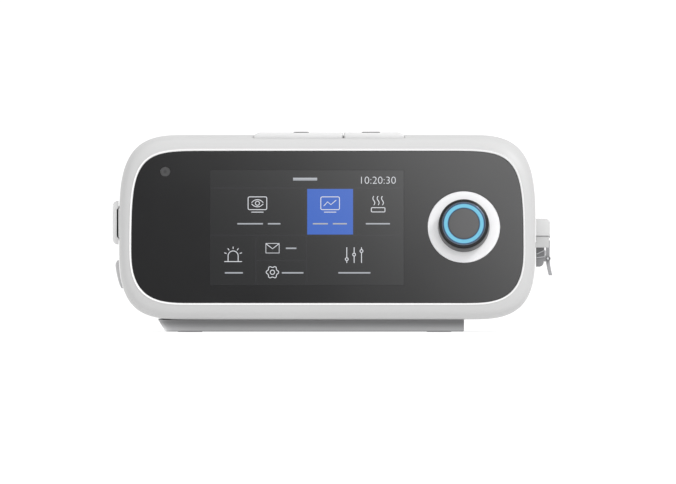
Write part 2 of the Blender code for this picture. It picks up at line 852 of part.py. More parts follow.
# Openings in the housing: drawer on the right, filter and card on the left, ports at the back.
WALL_REACH = 0.0120
drawer_cut = block(
    "drawer_cut",
    (body_side(DRAWER_LOW) - WALL_REACH, DRAWER_FRONT_Y, DRAWER_LOW),
    (BODY_WIDTH / 2 + WALL, DRAWER_REAR_Y, DRAWER_HIGH),
    None,
    body,
)
DOOR_LOW = 0.0487
DOOR_HIGH = 0.0726
DOOR_FRONT_Y = -0.0480
DOOR_REAR_Y = 0.0100
FILTER_LOW = 0.0510
FILTER_HIGH = 0.0700
FILTER_FRONT_Y = -0.0360
FILTER_REAR_Y = 0.0040
filter_cut = block(
    "filter_cut",
    (-BODY_WIDTH / 2 - WALL, FILTER_FRONT_Y, FILTER_LOW),
    (-BODY_WIDTH / 2 + WALL_REACH, FILTER_REAR_Y, FILTER_HIGH),
    None,
    body,
)
CARD_LOW = 0.0270
CARD_HIGH = 0.0370
CARD_FRONT_Y = -0.0340
CARD_REAR_Y = -0.0060
card_cut = block(
    "card_cut",
    (-BODY_WIDTH / 2 - WALL, CARD_FRONT_Y, CARD_LOW),
    (-BODY_WIDTH / 2 + WALL_REACH, CARD_REAR_Y, CARD_HIGH),
    None,
    body,
)
OUTLET_X = 0.040
OUTLET_Z = 0.072
CONNECTOR_RADIUS = 0.0110
CONNECTOR_BORE = 0.0090
outlet_cut = rod("outlet_cut", CONNECTOR_RADIUS + GAP, -WALL_REACH, WALL_REACH, None, body,
                 (OUTLET_X, REAR_Y, OUTLET_Z), (pi / 2, 0, 0))
INLET_X = -0.062
INLET_Z = 0.032
INLET_WIDTH = 0.0140
INLET_HEIGHT = 0.0110
INLET_DEPTH = 0.0140
inlet_cut = block(
    "inlet_cut",
    (INLET_X - INLET_WIDTH / 2 - GAP, REAR_Y - WALL_REACH, INLET_Z - INLET_HEIGHT / 2 - GAP),
    (INLET_X + INLET_WIDTH / 2 + GAP, REAR_Y + WALL, INLET_Z + INLET_HEIGHT / 2 + GAP),
    None,
    body,
)
cut(rear_housing, drawer_cut, filter_cut, card_cut, outlet_cut, inlet_cut)
VENT_COUNT = 6
VENT_WIDTH = 0.0024
VENT_HEIGHT = 0.0160
VENT_PITCH = 0.0060
VENT_X = -0.070
VENT_Z = 0.072
for number in range(VENT_COUNT):
    vent_x = VENT_X + number * VENT_PITCH
    vent = block(
        "vent_cut_%d" % number,
        (vent_x, REAR_Y - 2 * WALL, VENT_Z),
        (vent_x + VENT_WIDTH, REAR_Y + WALL, VENT_Z + VENT_HEIGHT),
        None,
        body,
    )
    cut(rear_housing, vent)


# Pedestal under the housing: left end slanted, right end upright, on four rubber feet.
BASE_LEFT_TOP = -0.0942
BASE_LEFT_LOW = -0.0905
BASE_RIGHT = 0.0762
BASE_FRONT_Y = -0.0640
BASE_REAR_Y = 0.0640
BASE_LOW = 0.0003
BASE_CORNER = 0.0034
FOOT_RADIUS = 0.0070
FOOT_HEIGHT = 0.0025
FOOT_INSET = 0.0140
base_top = BODY_BOTTOM - GAP


def base_ring(left, z):
    return [
        (left + BASE_CORNER, BASE_FRONT_Y, z),
        (BASE_RIGHT, BASE_FRONT_Y, z),
        (BASE_RIGHT, BASE_REAR_Y, z),
        (left + BASE_CORNER, BASE_REAR_Y, z),
        (left, BASE_REAR_Y - BASE_CORNER, z),
        (left, BASE_FRONT_Y + BASE_CORNER, z),
    ]


base_pedestal = loft(
    "base_pedestal",
    [
        base_ring(BASE_LEFT_LOW + EDGE_BREAK, BASE_LOW),
        base_ring(BASE_LEFT_LOW, BASE_LOW + EDGE_BREAK),
        base_ring(BASE_LEFT_TOP, base_top),
    ],
    shell_grey,
    body,
)
foot_spots = [
    (x, y)
    for y in (BASE_FRONT_Y + FOOT_INSET, BASE_REAR_Y - FOOT_INSET)
    for x in (BASE_LEFT_LOW + FOOT_INSET, BASE_RIGHT - FOOT_INSET)
]
for number, (foot_x, foot_y) in enumerate(foot_spots):
    socket = rod("foot_cut_%d" % number, FOOT_RADIUS + GAP, -BASE_LOW, FOOT_HEIGHT + GAP, None,
                 body, (foot_x, foot_y, 0), steps=20)
    cut(base_pedestal, socket)
    turned(
        "foot_%d" % (number + 1),
        [
            (0, FOOT_HEIGHT),
            (FOOT_RADIUS, FOOT_HEIGHT),
            (FOOT_RADIUS, EDGE_BREAK),
            (FOOT_RADIUS - EDGE_BREAK, 0),
            (0, 0),
        ],
        rubber_dark,
        body,
        (foot_x, foot_y, 0),
        steps=16,
    )


def quarter(across, rise, radius, first, steps=4):
    """Points round a quarter circle, from a start counted in quarter turns."""
    points = []
    for step in range(steps + 1):
        angle = pi / 2 * (first + step / steps)
        points.append((across + radius * cos(angle), rise + radius * sin(angle)))
    return points


# Filter door: pull-off cover on the left with round outer corners and a press tab in its front end.
DOOR_CORNER = 0.0030
RECESS_DEPTH = 0.0090
RECESS_HEIGHT = 0.0166
LIP_THICK = 0.0023
GROOVE = 0.0005
door_inner = -BODY_WIDTH / 2 - GAP
door_corner_x = DOOR_CORNER - door_outer
left_frame = frame_empty("left_frame", (0, 0, 0), (pi / 2, 0, 0), body)
door_outline = [(door_inner, DOOR_HIGH)]
door_outline += quarter(door_corner_x, DOOR_HIGH - DOOR_CORNER, DOOR_CORNER, 1)
door_outline += quarter(door_corner_x, DOOR_LOW + DOOR_CORNER, DOOR_CORNER, 2)
door_outline.append((door_inner, DOOR_LOW))
filter_door = slab(
    "filter_door", door_outline, -DOOR_REAR_Y, -DOOR_FRONT_Y, white, left_frame
)
door_middle = (DOOR_LOW + DOOR_HIGH) / 2
recess_cut = block(
    "recess_cut",
    (LIP_THICK - door_outer, DOOR_FRONT_Y - RECESS_DEPTH, door_middle - RECESS_HEIGHT / 2),
    (door_inner + GAP, DOOR_FRONT_Y + RECESS_DEPTH, door_middle + RECESS_HEIGHT / 2),
    None,
    body,
)
cut(filter_door, recess_cut)
press_tab = block(
    "press_tab",
    (LIP_THICK + GROOVE - door_outer, DOOR_FRONT_Y + GAP, door_middle - RECESS_HEIGHT / 2 + GROOVE),
    (door_inner, DOOR_FRONT_Y + RECESS_DEPTH + GAP, door_middle + RECESS_HEIGHT / 2 - GROOVE),
    None,
    body,
)
join(filter_door, press_tab)
TONGUE = 0.0024
TONGUE_THICK = 0.0012
for side, low in (("upper", FILTER_HIGH - GAP - TONGUE_THICK), ("lower", FILTER_LOW + GAP)):
    tongue = block(
        side + "_tongue",
        (door_inner - GAP, FILTER_FRONT_Y + RECESS_DEPTH, low),
        (-BODY_WIDTH / 2 + TONGUE, FILTER_REAR_Y - GAP, low + TONGUE_THICK),
        None,
        body,
    )
    join(filter_door, tongue)
FILTER_THICK = 0.0050
filter_back = -BODY_WIDTH / 2 + TONGUE + GAP + FILTER_THICK
block(
    "air_filter",
    (-BODY_WIDTH / 2 + TONGUE + GAP, FILTER_FRONT_Y + GAP, FILTER_LOW + GAP),
    (filter_back, FILTER_REAR_Y - GAP, FILTER_HIGH - GAP),
    filter_blue,
    body,
)


# Card flap: soft cover that follows the housing's curve and swings down about its lower edge.
FLAP_LOW = 0.0242
FLAP_HIGH = 0.0396
FLAP_FRONT_Y = -0.0440
FLAP_REAR_Y = 0.0020
FLAP_THICK = 0.0024
FLAP_STEPS = 5


def side_profile(low, high, off, thick, steps):
    """A strip in X and Z that follows the housing's left side, this far off it and this thick."""
    heights = [low + (high - low) * step / steps for step in range(steps + 1)]
    inner = [(-body_side(height) - off, height) for height in heights]
    outer = [(-body_side(height) - off - thick, height) for height in heights]
    outer[0] = (outer[0][0] + thick / 3, outer[0][1])
    outer[-1] = (outer[-1][0] + thick / 3, outer[-1][1])
    return inner, outer


def strip(name, inner, outer, near, far, colour):
    outline = outer + inner[::-1]
    rings = [upright_ring(outline, near), upright_ring(outline, far)]
    return loft(name, rings, colour, body)


flap_inner, flap_outer = side_profile(FLAP_LOW, FLAP_HIGH, GAP, FLAP_THICK, FLAP_STEPS)
strip("card_flap", flap_inner, flap_outer, FLAP_REAR_Y, FLAP_FRONT_Y, rubber_grey)
SOCKET_DEPTH = 0.0200
SLOT_THICK = 0.0030
socket_outer_x = -body_side(CARD_LOW) + WALL + GAP
card_socket = block(
    "card_socket",
    (socket_outer_x, CARD_FRONT_Y + GAP, CARD_LOW + GAP),
    (socket_outer_x + SOCKET_DEPTH, CARD_REAR_Y - GAP, CARD_HIGH - GAP),
    steel,
    body,
)
card_middle = (CARD_LOW + CARD_HIGH) / 2
slot_cut = block(
    "card_slot_cut",
    (socket_outer_x - GAP, CARD_FRONT_Y + SLOT_THICK, card_middle - SLOT_THICK / 2),
    (socket_outer_x + SOCKET_DEPTH - SLOT_THICK, CARD_REAR_Y - SLOT_THICK,
     card_middle + SLOT_THICK / 2),
    None,
    body,
)
cut(card_socket, slot_cut)


# Chassis: floor plate inside the housing with four posts for the main board.
CHASSIS_LOW = 0.0120
CHASSIS_THICK = 0.0020
CHASSIS_CLEAR = 0.0240
CHASSIS_FRONT_Y = -0.0450
CHASSIS_REAR_Y = 0.0610
MAIN_BOARD_LOW = 0.0840
BOARD_POST = 0.0030
POST_INSET = 0.0040
POST_MIDDLE_X = 0.0050
POST_FRONT_Y = -0.0418
POST_REAR_Y = 0.0575
chassis_top = CHASSIS_LOW + CHASSIS_THICK
chassis_half = BODY_WIDTH / 2 - CHASSIS_CLEAR
post_left_x = POST_INSET - chassis_half
post_right_x = chassis_half - POST_INSET
chassis_tray = slab(
    "chassis_tray",
    rounded_rectangle(-chassis_half, chassis_half, CHASSIS_FRONT_Y, CHASSIS_REAR_Y, BASE_CORNER),
    CHASSIS_LOW,
    chassis_top,
    soft_white,
    body,
)
for number, (post_x, post_y) in enumerate(
    ((post_left_x, POST_REAR_Y), (POST_MIDDLE_X, POST_REAR_Y), (post_right_x, POST_REAR_Y),
     (post_left_x, POST_FRONT_Y), (POST_MIDDLE_X, POST_FRONT_Y), (post_right_x, POST_FRONT_Y))
):
    post = rod("board_post_%d" % number, BOARD_POST, CHASSIS_LOW + CHASSIS_THICK / 2,
               MAIN_BOARD_LOW - GAP, None, body, (post_x, post_y, 0), steps=8)
    join(chassis_tray, post)
STAND_COUNT = 3
for number in range(STAND_COUNT):
    stand_x = (number - 1) * chassis_half / 2
    stand = rod("chassis_foot_%d" % number, BOARD_POST, BODY_BOTTOM + WALL + GAP,
                CHASSIS_LOW + CHASSIS_THICK / 2, None, body, (stand_x, 0, 0), steps=8)
    join(chassis_tray, stand)

# Main board with its connector, heat sink and capacitors.
BOARD_EDGE = 0.0060
HEAT_SINK_HEIGHT = 0.0110
main_board = block(
    "main_board",
    (post_left_x - BOARD_EDGE, POST_FRONT_Y - BOARD_EDGE / 2, MAIN_BOARD_LOW),
    (post_right_x + BOARD_EDGE, POST_REAR_Y + BOARD_EDGE, MAIN_BOARD_LOW + BOARD_THICK),
    board_green,
    body,
)
SINK_X = 0.020
SINK_Y = 0.006
SINK_SIDE = 0.030
FIN_COUNT = 6
FIN_THICK = 0.0016
sink_base = block(
    "sink_base",
    (SINK_X, SINK_Y, MAIN_BOARD_LOW + BOARD_THICK / 2),
    (SINK_X + SINK_SIDE, SINK_Y + SINK_SIDE, MAIN_BOARD_LOW + 2 * BOARD_THICK),
    None,
    body,
)
join(main_board, sink_base)
for number in range(FIN_COUNT):
    fin_y = SINK_Y + number * (SINK_SIDE - FIN_THICK) / (FIN_COUNT - 1)
    fin = block(
        "fin_%d" % number,
        (SINK_X, fin_y, MAIN_BOARD_LOW + BOARD_THICK),
        (SINK_X + SINK_SIDE, fin_y + FIN_THICK, MAIN_BOARD_LOW + HEAT_SINK_HEIGHT),
        None,
        body,
    )
    join(main_board, fin)
CAPACITOR_RADIUS = 0.0050
CAPACITOR_SPOTS_X = (-0.060, -0.046, -0.032)
CAPACITOR_Y = 0.050
for number, spot_x in enumerate(CAPACITOR_SPOTS_X):
    can = rod("capacitor_%d" % number, CAPACITOR_RADIUS, MAIN_BOARD_LOW + BOARD_THICK / 2,
              MAIN_BOARD_LOW + HEAT_SINK_HEIGHT, None, body, (spot_x, CAPACITOR_Y, 0), steps=12)
    join(main_board, can)

# Power inlet through the back wall.
FLANGE_BORDER = 0.0020
JACK_BORE = 0.0032
JACK_PIN = 0.0010
power_inlet = block(
    "power_inlet",
    (INLET_X - INLET_WIDTH / 2, REAR_Y - INLET_DEPTH, INLET_Z - INLET_HEIGHT / 2),
    (INLET_X + INLET_WIDTH / 2, REAR_Y - GAP, INLET_Z + INLET_HEIGHT / 2),
    part_black,
    body,
)
jack_cut = turned(
    "jack_cut",
    [
        (JACK_BORE, WALL),
        (JACK_BORE, -INLET_DEPTH + WALL),
        (JACK_PIN, -INLET_DEPTH + WALL),
        (JACK_PIN, WALL),
    ],
    None,
    body,
    (INLET_X, REAR_Y, INLET_Z),
    (-pi / 2, 0, 0),
    16,
)
cut(power_inlet, jack_cut)
inlet_flange = block(
    "inlet_flange",
    (INLET_X - INLET_WIDTH / 2 - FLANGE_BORDER, REAR_Y - INLET_DEPTH + GAP,
     INLET_Z - INLET_HEIGHT / 2 - FLANGE_BORDER),
    (INLET_X + INLET_WIDTH / 2 + FLANGE_BORDER, REAR_Y - WALL - 3 * GAP,
     INLET_Z + INLET_HEIGHT / 2 + FLANGE_BORDER),
    None,
    body,
)
bore_clear = rod("bore_clear", JACK_BORE + FLANGE_THICK, -INLET_DEPTH, WALL, None, body,
                 (INLET_X, REAR_Y, INLET_Z), (-pi / 2, 0, 0), 16)
cut(inlet_flange, bore_clear)
join(power_inlet, inlet_flange)

# Speaker on the chassis.
SPEAKER_X = -0.0660
SPEAKER_Y = -0.0240
SPEAKER_RADIUS = 0.0120
SPEAKER_HEIGHT = 0.0070
turned(
    "speaker",
    [
        (0, chassis_top + SPEAKER_HEIGHT),
        (SPEAKER_RADIUS / 2, chassis_top + SPEAKER_HEIGHT),
        (SPEAKER_RADIUS / 2, chassis_top + SPEAKER_HEIGHT / 2),
        (SPEAKER_RADIUS, chassis_top + SPEAKER_HEIGHT / 3),
        (SPEAKER_RADIUS, chassis_top + GAP),
        (0, chassis_top + GAP),
    ],
    part_black,
    body,
    (SPEAKER_X, SPEAKER_Y, 0),
)


# Blower: two-part volute, backward-curved impeller on a motor shaft in two bearings.
BLOWER_X = -0.054
BLOWER_Y = 0.012
IMPELLER_RADIUS = 0.0210
IMPELLER_EYE = 0.0085
IMPELLER_LOW = 0.0365
BLADE_HEIGHT = 0.0070
DISC_THICK = 0.0014
BLADE_COUNT = 11
BLADE_THICK = 0.0010
BLADE_SWEEP = radians(52)
BLADE_STEPS = 4
VOLUTE_START = 0.0235
VOLUTE_GROWTH = 0.0105
VOLUTE_STEPS = 20
VOLUTE_WALL = 0.0022
VOLUTE_LOW = 0.0330
VOLUTE_HIGH = 0.0500
MOTOR_SHAFT_RADIUS = 0.0020
BEARING_RADIUS = 0.0050
BEARING_THICK = 0.0030
TONGUE_ANGLE = radians(-62)
MOUTH_REACH = 0.0340
MOUTH_WIDTH = 0.0120
VOLUTE_SPLIT = GAP / 2


def volute_outline(extra, overrun=0):
    """A spiral that opens into a straight mouth towards the water drawer."""
    points = []
    last = 3 * pi / 2
    for step in range(VOLUTE_STEPS + 1):
        turn = step / VOLUTE_STEPS
        angle = TONGUE_ANGLE + (last - TONGUE_ANGLE) * turn
        radius = VOLUTE_START + VOLUTE_GROWTH * turn + extra
        points.append((radius * cos(angle), radius * sin(angle)))
    far_wall = -VOLUTE_START - VOLUTE_GROWTH
    points.append((MOUTH_REACH + overrun, far_wall - extra))
    points.append((MOUTH_REACH + overrun, far_wall + MOUTH_WIDTH + extra))
    return points


volute_place = (BLOWER_X, BLOWER_Y, 0)
blower_lower = slab(
    "blower_lower_housing",
    volute_outline(VOLUTE_WALL),
    VOLUTE_LOW,
    PORT_Z - VOLUTE_SPLIT,
    part_black,
    body,
    volute_place,
    holes=(circle(0, 0, BEARING_RADIUS + GAP),),
)
lower_pocket = slab(
    "lower_pocket_cut",
    volute_outline(0, VOLUTE_WALL),
    VOLUTE_LOW + VOLUTE_WALL,
    PORT_Z + VOLUTE_WALL,
    None,
    body,
    volute_place,
)
cut(blower_lower, lower_pocket)
blower_upper = slab(
    "blower_upper_housing",
    volute_outline(VOLUTE_WALL),
    PORT_Z + VOLUTE_SPLIT,
    VOLUTE_HIGH,
    part_black,
    body,
    volute_place,
)
upper_pocket = slab(
    "upper_pocket_cut",
    volute_outline(0, VOLUTE_WALL),
    PORT_Z - VOLUTE_WALL,
    VOLUTE_HIGH - VOLUTE_WALL,
    None,
    body,
    volute_place,
)
cut(blower_upper, upper_pocket)
COLLAR_TOP = 0.0567
collar = rod("inlet_collar", IMPELLER_EYE + VOLUTE_WALL, VOLUTE_HIGH - VOLUTE_WALL / 2, COLLAR_TOP,
             None, body, volute_place)
collar_bore = turned(
    "inlet_bore_cut",
    [
        (0, COLLAR_TOP + GAP),
        (IMPELLER_EYE + VOLUTE_WALL / 2, COLLAR_TOP + GAP),
        (IMPELLER_EYE, VOLUTE_HIGH),
        (IMPELLER_EYE, VOLUTE_HIGH - 2 * VOLUTE_WALL),
        (0, VOLUTE_HIGH - 2 * VOLUTE_WALL),
    ],
    None,
    body,
    volute_place,
)
join(blower_upper, collar)
cut(blower_upper, collar_bore)

# Impeller: hub, back disc and blades that trail behind the turn.
HUB_TOP = 0.0445
hub_bore = MOTOR_SHAFT_RADIUS + GAP
impeller = turned(
    "impeller",
    [
        (hub_bore, HUB_TOP),
        (hub_bore + BLADE_THICK, HUB_TOP),
        (BEARING_RADIUS, IMPELLER_LOW + BLADE_HEIGHT / 2),
        (IMPELLER_EYE, IMPELLER_LOW + DISC_THICK),
        (IMPELLER_RADIUS, IMPELLER_LOW + DISC_THICK),
        (IMPELLER_RADIUS, IMPELLER_LOW),
        (hub_bore, IMPELLER_LOW),
    ],
    duct_white,
    body,
    volute_place,
    steps=2 * BLADE_COUNT,
)
blade_points = []
blade_faces = []
blade_from = IMPELLER_EYE - BLADE_THICK
blade_to = IMPELLER_RADIUS - BLADE_THICK
for blade in range(BLADE_COUNT):
    first = len(blade_points)
    sides = []
    for side in (-0.5, 0.5):
        run = []
        for step in range(BLADE_STEPS + 1):
            share = step / BLADE_STEPS
            radius = blade_from + (blade_to - blade_from) * share
            angle = 2 * pi * blade / BLADE_COUNT - BLADE_SWEEP * share**0.8
            angle += side * BLADE_THICK / radius
            run.append((radius * cos(angle), radius * sin(angle), share))
        sides.append(run)
    loop = sides[0] + sides[1][::-1]
    count = len(loop)
    for x, y, share in loop:
        blade_points.append((x, y, IMPELLER_LOW + DISC_THICK / 2))
    for x, y, share in loop:
        top = IMPELLER_LOW + DISC_THICK + BLADE_HEIGHT * (1 - 0.35 * share)
        blade_points.append((x, y, top))
    blade_faces.append(tuple(range(first, first + count)))
    blade_faces.append(tuple(range(first + count, first + 2 * count))[::-1])
    for step in range(count):
        after = (step + 1) % count
        blade_faces.append((first + step, first + count + step, first + count + after, first + after))
blades = mesh_piece("impeller_blades", blade_points, blade_faces, None, body, volute_place)
join(impeller, blades)

# Motor under the volute: rotor and shaft in an upper and a lower bearing, stator round them.
ROTOR_RADIUS = 0.0070
ROTOR_LOW = 0.0225
ROTOR_HIGH = 0.0305
STATOR_RADIUS = 0.0150
STATOR_LOW = 0.0172
AIR_GAP = 0.0006
stator_high = VOLUTE_LOW - GAP
turned(
    "motor_rotor",
    [
        (0, HUB_TOP - BLADE_THICK),
        (MOTOR_SHAFT_RADIUS, HUB_TOP - BLADE_THICK),
        (MOTOR_SHAFT_RADIUS, ROTOR_HIGH),
        (ROTOR_RADIUS, ROTOR_HIGH),
        (ROTOR_RADIUS, ROTOR_LOW),
        (MOTOR_SHAFT_RADIUS, ROTOR_LOW),
        (MOTOR_SHAFT_RADIUS, STATOR_LOW + EDGE_BREAK),
        (0, STATOR_LOW + EDGE_BREAK),
    ],
    steel,
    body,
    volute_place,
)
turned(
    "motor_stator",
    [
        (ROTOR_RADIUS + AIR_GAP, stator_high),
        (STATOR_RADIUS, stator_high),
        (STATOR_RADIUS, STATOR_LOW + EDGE_BREAK),
        (STATOR_RADIUS - EDGE_BREAK, STATOR_LOW),
        (BEARING_RADIUS + GAP, STATOR_LOW),
        (BEARING_RADIUS + GAP, STATOR_LOW + BEARING_THICK + GAP),
        (ROTOR_RADIUS + AIR_GAP, STATOR_LOW + BEARING_THICK + GAP),
    ],
    copper,
    body,
    volute_place,
)
for side, bearing_low in (("upper", VOLUTE_LOW), ("lower", STATOR_LOW)):
    turned(
        side + "_bearing",
        [
            (MOTOR_SHAFT_RADIUS + RUNNING, bearing_low + BEARING_THICK),
            (BEARING_RADIUS, bearing_low + BEARING_THICK),
            (BEARING_RADIUS, bearing_low),
            (MOTOR_SHAFT_RADIUS + RUNNING, bearing_low),
        ],
        steel,
        body,
        volute_place,
    )
MOUNT_OUTER = 0.0225
MOUNT_INNER = 0.0180
MOUNT_WAIST = 0.0012
mount_low = chassis_top + GAP
mount_high = VOLUTE_LOW - GAP
mount_middle = (mount_low + mount_high) / 2
turned(
    "blower_mount",
    [
        (MOUNT_INNER, mount_high),
        (MOUNT_OUTER, mount_high),
        (MOUNT_OUTER - MOUNT_WAIST, mount_middle),
        (MOUNT_OUTER, mount_low),
        (MOUNT_INNER, mount_low),
        (MOUNT_INNER + MOUNT_WAIST, mount_middle),
    ],
    rubber_grey,
    body,
    volute_place,
)

# Inlet muffler over the blower, open to the filter, lined with foam.
MUFFLER_LOW = 0.0570
MUFFLER_HIGH = 0.0780
MUFFLER_RIGHT = -0.0200
MUFFLER_FRONT_Y = -0.0380
MUFFLER_REAR_Y = 0.0440
MUFFLER_WALL = 0.0018
FOAM_THICK = 0.0080
muffler_left = filter_back + GAP
muffler = block(
    "inlet_muffler",
    (muffler_left, MUFFLER_FRONT_Y, MUFFLER_LOW),
    (MUFFLER_RIGHT, MUFFLER_REAR_Y, MUFFLER_HIGH),
    soft_white,
    body,
)
muffler_room = block(
    "muffler_room_cut",
    (muffler_left + MUFFLER_WALL, MUFFLER_FRONT_Y + MUFFLER_WALL, MUFFLER_LOW + MUFFLER_WALL),
    (MUFFLER_RIGHT - MUFFLER_WALL, MUFFLER_REAR_Y - MUFFLER_WALL, MUFFLER_HIGH - MUFFLER_WALL),
    None,
    body,
)
muffler_window = block(
    "muffler_window_cut",
    (muffler_left - GAP, FILTER_FRONT_Y + MUFFLER_WALL, MUFFLER_LOW + 2 * MUFFLER_WALL),
    (muffler_left + 2 * MUFFLER_WALL, FILTER_REAR_Y - MUFFLER_WALL, FILTER_HIGH - MUFFLER_WALL),
    None,
    body,
)
muffler_hole = rod("muffler_hole_cut", IMPELLER_EYE + VOLUTE_WALL, MUFFLER_LOW - GAP,
                   MUFFLER_LOW + 2 * MUFFLER_WALL, None, body, volute_place)
cut(muffler, muffler_room, muffler_window, muffler_hole)
block(
    "foam_lining",
    (muffler_left + MUFFLER_WALL + GAP, MUFFLER_FRONT_Y + MUFFLER_WALL + GAP,
     MUFFLER_HIGH - MUFFLER_WALL - GAP - FOAM_THICK),
    (MUFFLER_RIGHT - MUFFLER_WALL - GAP, MUFFLER_REAR_Y - MUFFLER_WALL - GAP,
     MUFFLER_HIGH - MUFFLER_WALL - GAP),
    foam_grey,
    body,
)

# Water drawer bay on the chassis, with the heater plate on its floor and two ports in its back.
BAY_WALL = 0.0020
BAY_END_X = 0.1010
SLIDE_CLEAR = 0.0008
PORT_RADIUS = 0.0060
PORT_OUTER = 0.0078
HEATER_LEFT = 0.0280
HEATER_RIGHT = 0.0920
HEATER_INSET = 0.0120
HEATER_THICK = 0.0018
bay_low = chassis_top + GAP
bay_floor = bay_low + BAY_WALL
bay_ceiling = DRAWER_HIGH + GAP
humidifier_bay = block(
    "humidifier_bay",
    (BAY_BACK_X, DRAWER_FRONT_Y - BAY_WALL, bay_low),
    (BAY_END_X, DRAWER_REAR_Y + BAY_WALL, bay_ceiling + BAY_WALL),
    soft_white,
    body,
)
bay_room = block(
    "bay_room_cut",
    (BAY_BACK_X + BAY_WALL, DRAWER_FRONT_Y, bay_floor),
    (BAY_END_X + BAY_WALL, DRAWER_REAR_Y, bay_ceiling),
    None,
    body,
)
cut(humidifier_bay, bay_room)
for side, port_y in (("blower", BLOWER_PORT_Y), ("outlet", OUTLET_PORT_Y)):
    port_cut = rod(side + "_port_cut", PORT_RADIUS, -BAY_WALL, 2 * BAY_WALL, None, body,
                   (BAY_BACK_X, port_y, PORT_Z), (0, pi / 2, 0))
    cut(humidifier_bay, port_cut)
heater_top = bay_floor + GAP + HEATER_THICK
block(
    "heater_plate",
    (HEATER_LEFT, DRAWER_FRONT_Y + HEATER_INSET, bay_floor + GAP),
    (HEATER_RIGHT, DRAWER_REAR_Y - HEATER_INSET, heater_top),
    aluminium,
    body,
    EDGE_BREAK / 2,
    1,
)

# Air duct from the blower's mouth to the bay: square at one end and round at the other.
duct_from = BLOWER_X + MOUTH_REACH + GAP
duct_to = BAY_BACK_X - GAP
duct_middle_y = BLOWER_Y - VOLUTE_START - VOLUTE_GROWTH + MOUTH_WIDTH / 2
duct_half = MOUTH_WIDTH / 2 + VOLUTE_WALL
duct_half_rise = (VOLUTE_HIGH - VOLUTE_LOW) / 2
DUCT_CORNER_STEPS = 3


def square_ring(x, inset):
    outline = rounded_rectangle(
        duct_middle_y - duct_half + inset,
        duct_middle_y + duct_half - inset,
        PORT_Z - duct_half_rise + inset,
        PORT_Z + duct_half_rise - inset,
        VOLUTE_WALL + EDGE_BREAK,
        DUCT_CORNER_STEPS,
    )
    return [(x, along, rise) for along, rise in outline]


def round_ring(x, radius):
    outline = circle(BLOWER_PORT_Y, PORT_Z, radius, 4 * (DUCT_CORNER_STEPS + 1))
    return [(x, along, rise) for along, rise in outline]


DUCT_WALL = 0.0018
duct_turn = duct_to - (duct_to - duct_from) / 3
loft(
    "air_duct",
    [
        square_ring(duct_from, 0),
        round_ring(duct_turn, PORT_OUTER),
        round_ring(duct_to, PORT_OUTER),
        round_ring(duct_to, PORT_OUTER - DUCT_WALL),
        round_ring(duct_turn, PORT_OUTER - DUCT_WALL),
        square_ring(duct_from, DUCT_WALL),
    ],
    duct_white,
    body,
    closed=True,
)

# Outlet duct: bent tube from the bay's rear port up to the flow sensor and the 22 mm connector.
SENSOR_SIDE = 0.0220
SENSOR_THICK = 0.0100
CONNECTOR_START = 0.0620
DUCT_STEPS = 10
duct_start = Vector((duct_to, OUTLET_PORT_Y, PORT_Z))
duct_end = Vector((OUTLET_X, CONNECTOR_START - 2 * GAP - SENSOR_THICK, OUTLET_Z))
FIRST_HANDLE = (-0.0500, 0, 0)
LAST_HANDLE = (-0.0060, -0.0340, 0.0100)


def duct_point(share):
    rest = 1 - share
    return (
        duct_start * rest**3
        + (duct_start + Vector(FIRST_HANDLE)) * 3 * rest**2 * share
        + (duct_end + Vector(LAST_HANDLE)) * 3 * rest * share**2
        + duct_end * share**3
    )


def duct_ring(share, radius):
    here = duct_point(share)
    if share == 0:
        along = Vector((-1, 0, 0))
    elif share == 1:
        along = Vector((0, 1, 0))
    else:
        along = (duct_point(share + 0.01) - duct_point(share - 0.01)).normalized()
    level = along.cross(Vector((0, 0, 1))).normalized()
    rise = level.cross(along)
    return [tuple(here + level * a + rise * b) for a, b in circle(0, 0, radius, SMALL_STEPS)]


duct_shares = [step / DUCT_STEPS for step in range(DUCT_STEPS + 1)]
loft(
    "outlet_duct",
    [duct_ring(share, PORT_OUTER) for share in duct_shares]
    + [duct_ring(share, PORT_OUTER - DUCT_WALL) for share in reversed(duct_shares)],
    duct_white,
    body,
    closed=True,
)
flow_sensor = block(
    "flow_sensor",
    (OUTLET_X - SENSOR_SIDE / 2, CONNECTOR_START - GAP - SENSOR_THICK, OUTLET_Z - SENSOR_SIDE / 2),
    (OUTLET_X + SENSOR_SIDE / 2, CONNECTOR_START - GAP, OUTLET_Z + SENSOR_SIDE / 2),
    part_black,
    body,
    EDGE_BREAK,
    2,
)
sensor_bore = rod("sensor_bore_cut", PORT_RADIUS, -SENSOR_THICK, SENSOR_THICK, None, body,
                  (OUTLET_X, CONNECTOR_START - SENSOR_THICK / 2, OUTLET_Z), (pi / 2, 0, 0))
cut(flow_sensor, sensor_bore)
CONNECTOR_FLANGE = 0.0130
CONNECTOR_TAPER = 0.0003
inside = CONNECTOR_START - REAR_Y
turned(
    "outlet_connector",
    [
        (CONNECTOR_BORE, OUTLET_END - REAR_Y),
        (CONNECTOR_RADIUS - CONNECTOR_TAPER - EDGE_BREAK, OUTLET_END - REAR_Y),
        (CONNECTOR_RADIUS - CONNECTOR_TAPER, OUTLET_END - REAR_Y - EDGE_BREAK),
        (CONNECTOR_RADIUS, 0),
        (CONNECTOR_RADIUS, -WALL - 3 * GAP),
        (CONNECTOR_FLANGE, -WALL - 3 * GAP),
        (CONNECTOR_FLANGE, -2 * WALL),
        (PORT_RADIUS + DUCT_WALL, -2 * WALL),
        (PORT_RADIUS + DUCT_WALL, inside),
        (PORT_RADIUS, inside),
        (PORT_RADIUS, -WALL),
        (CONNECTOR_BORE, -WALL),
    ],
    soft_white,
    body,
    (OUTLET_X, REAR_Y, OUTLET_Z),
    (-pi / 2, 0, 0),
    28,
)


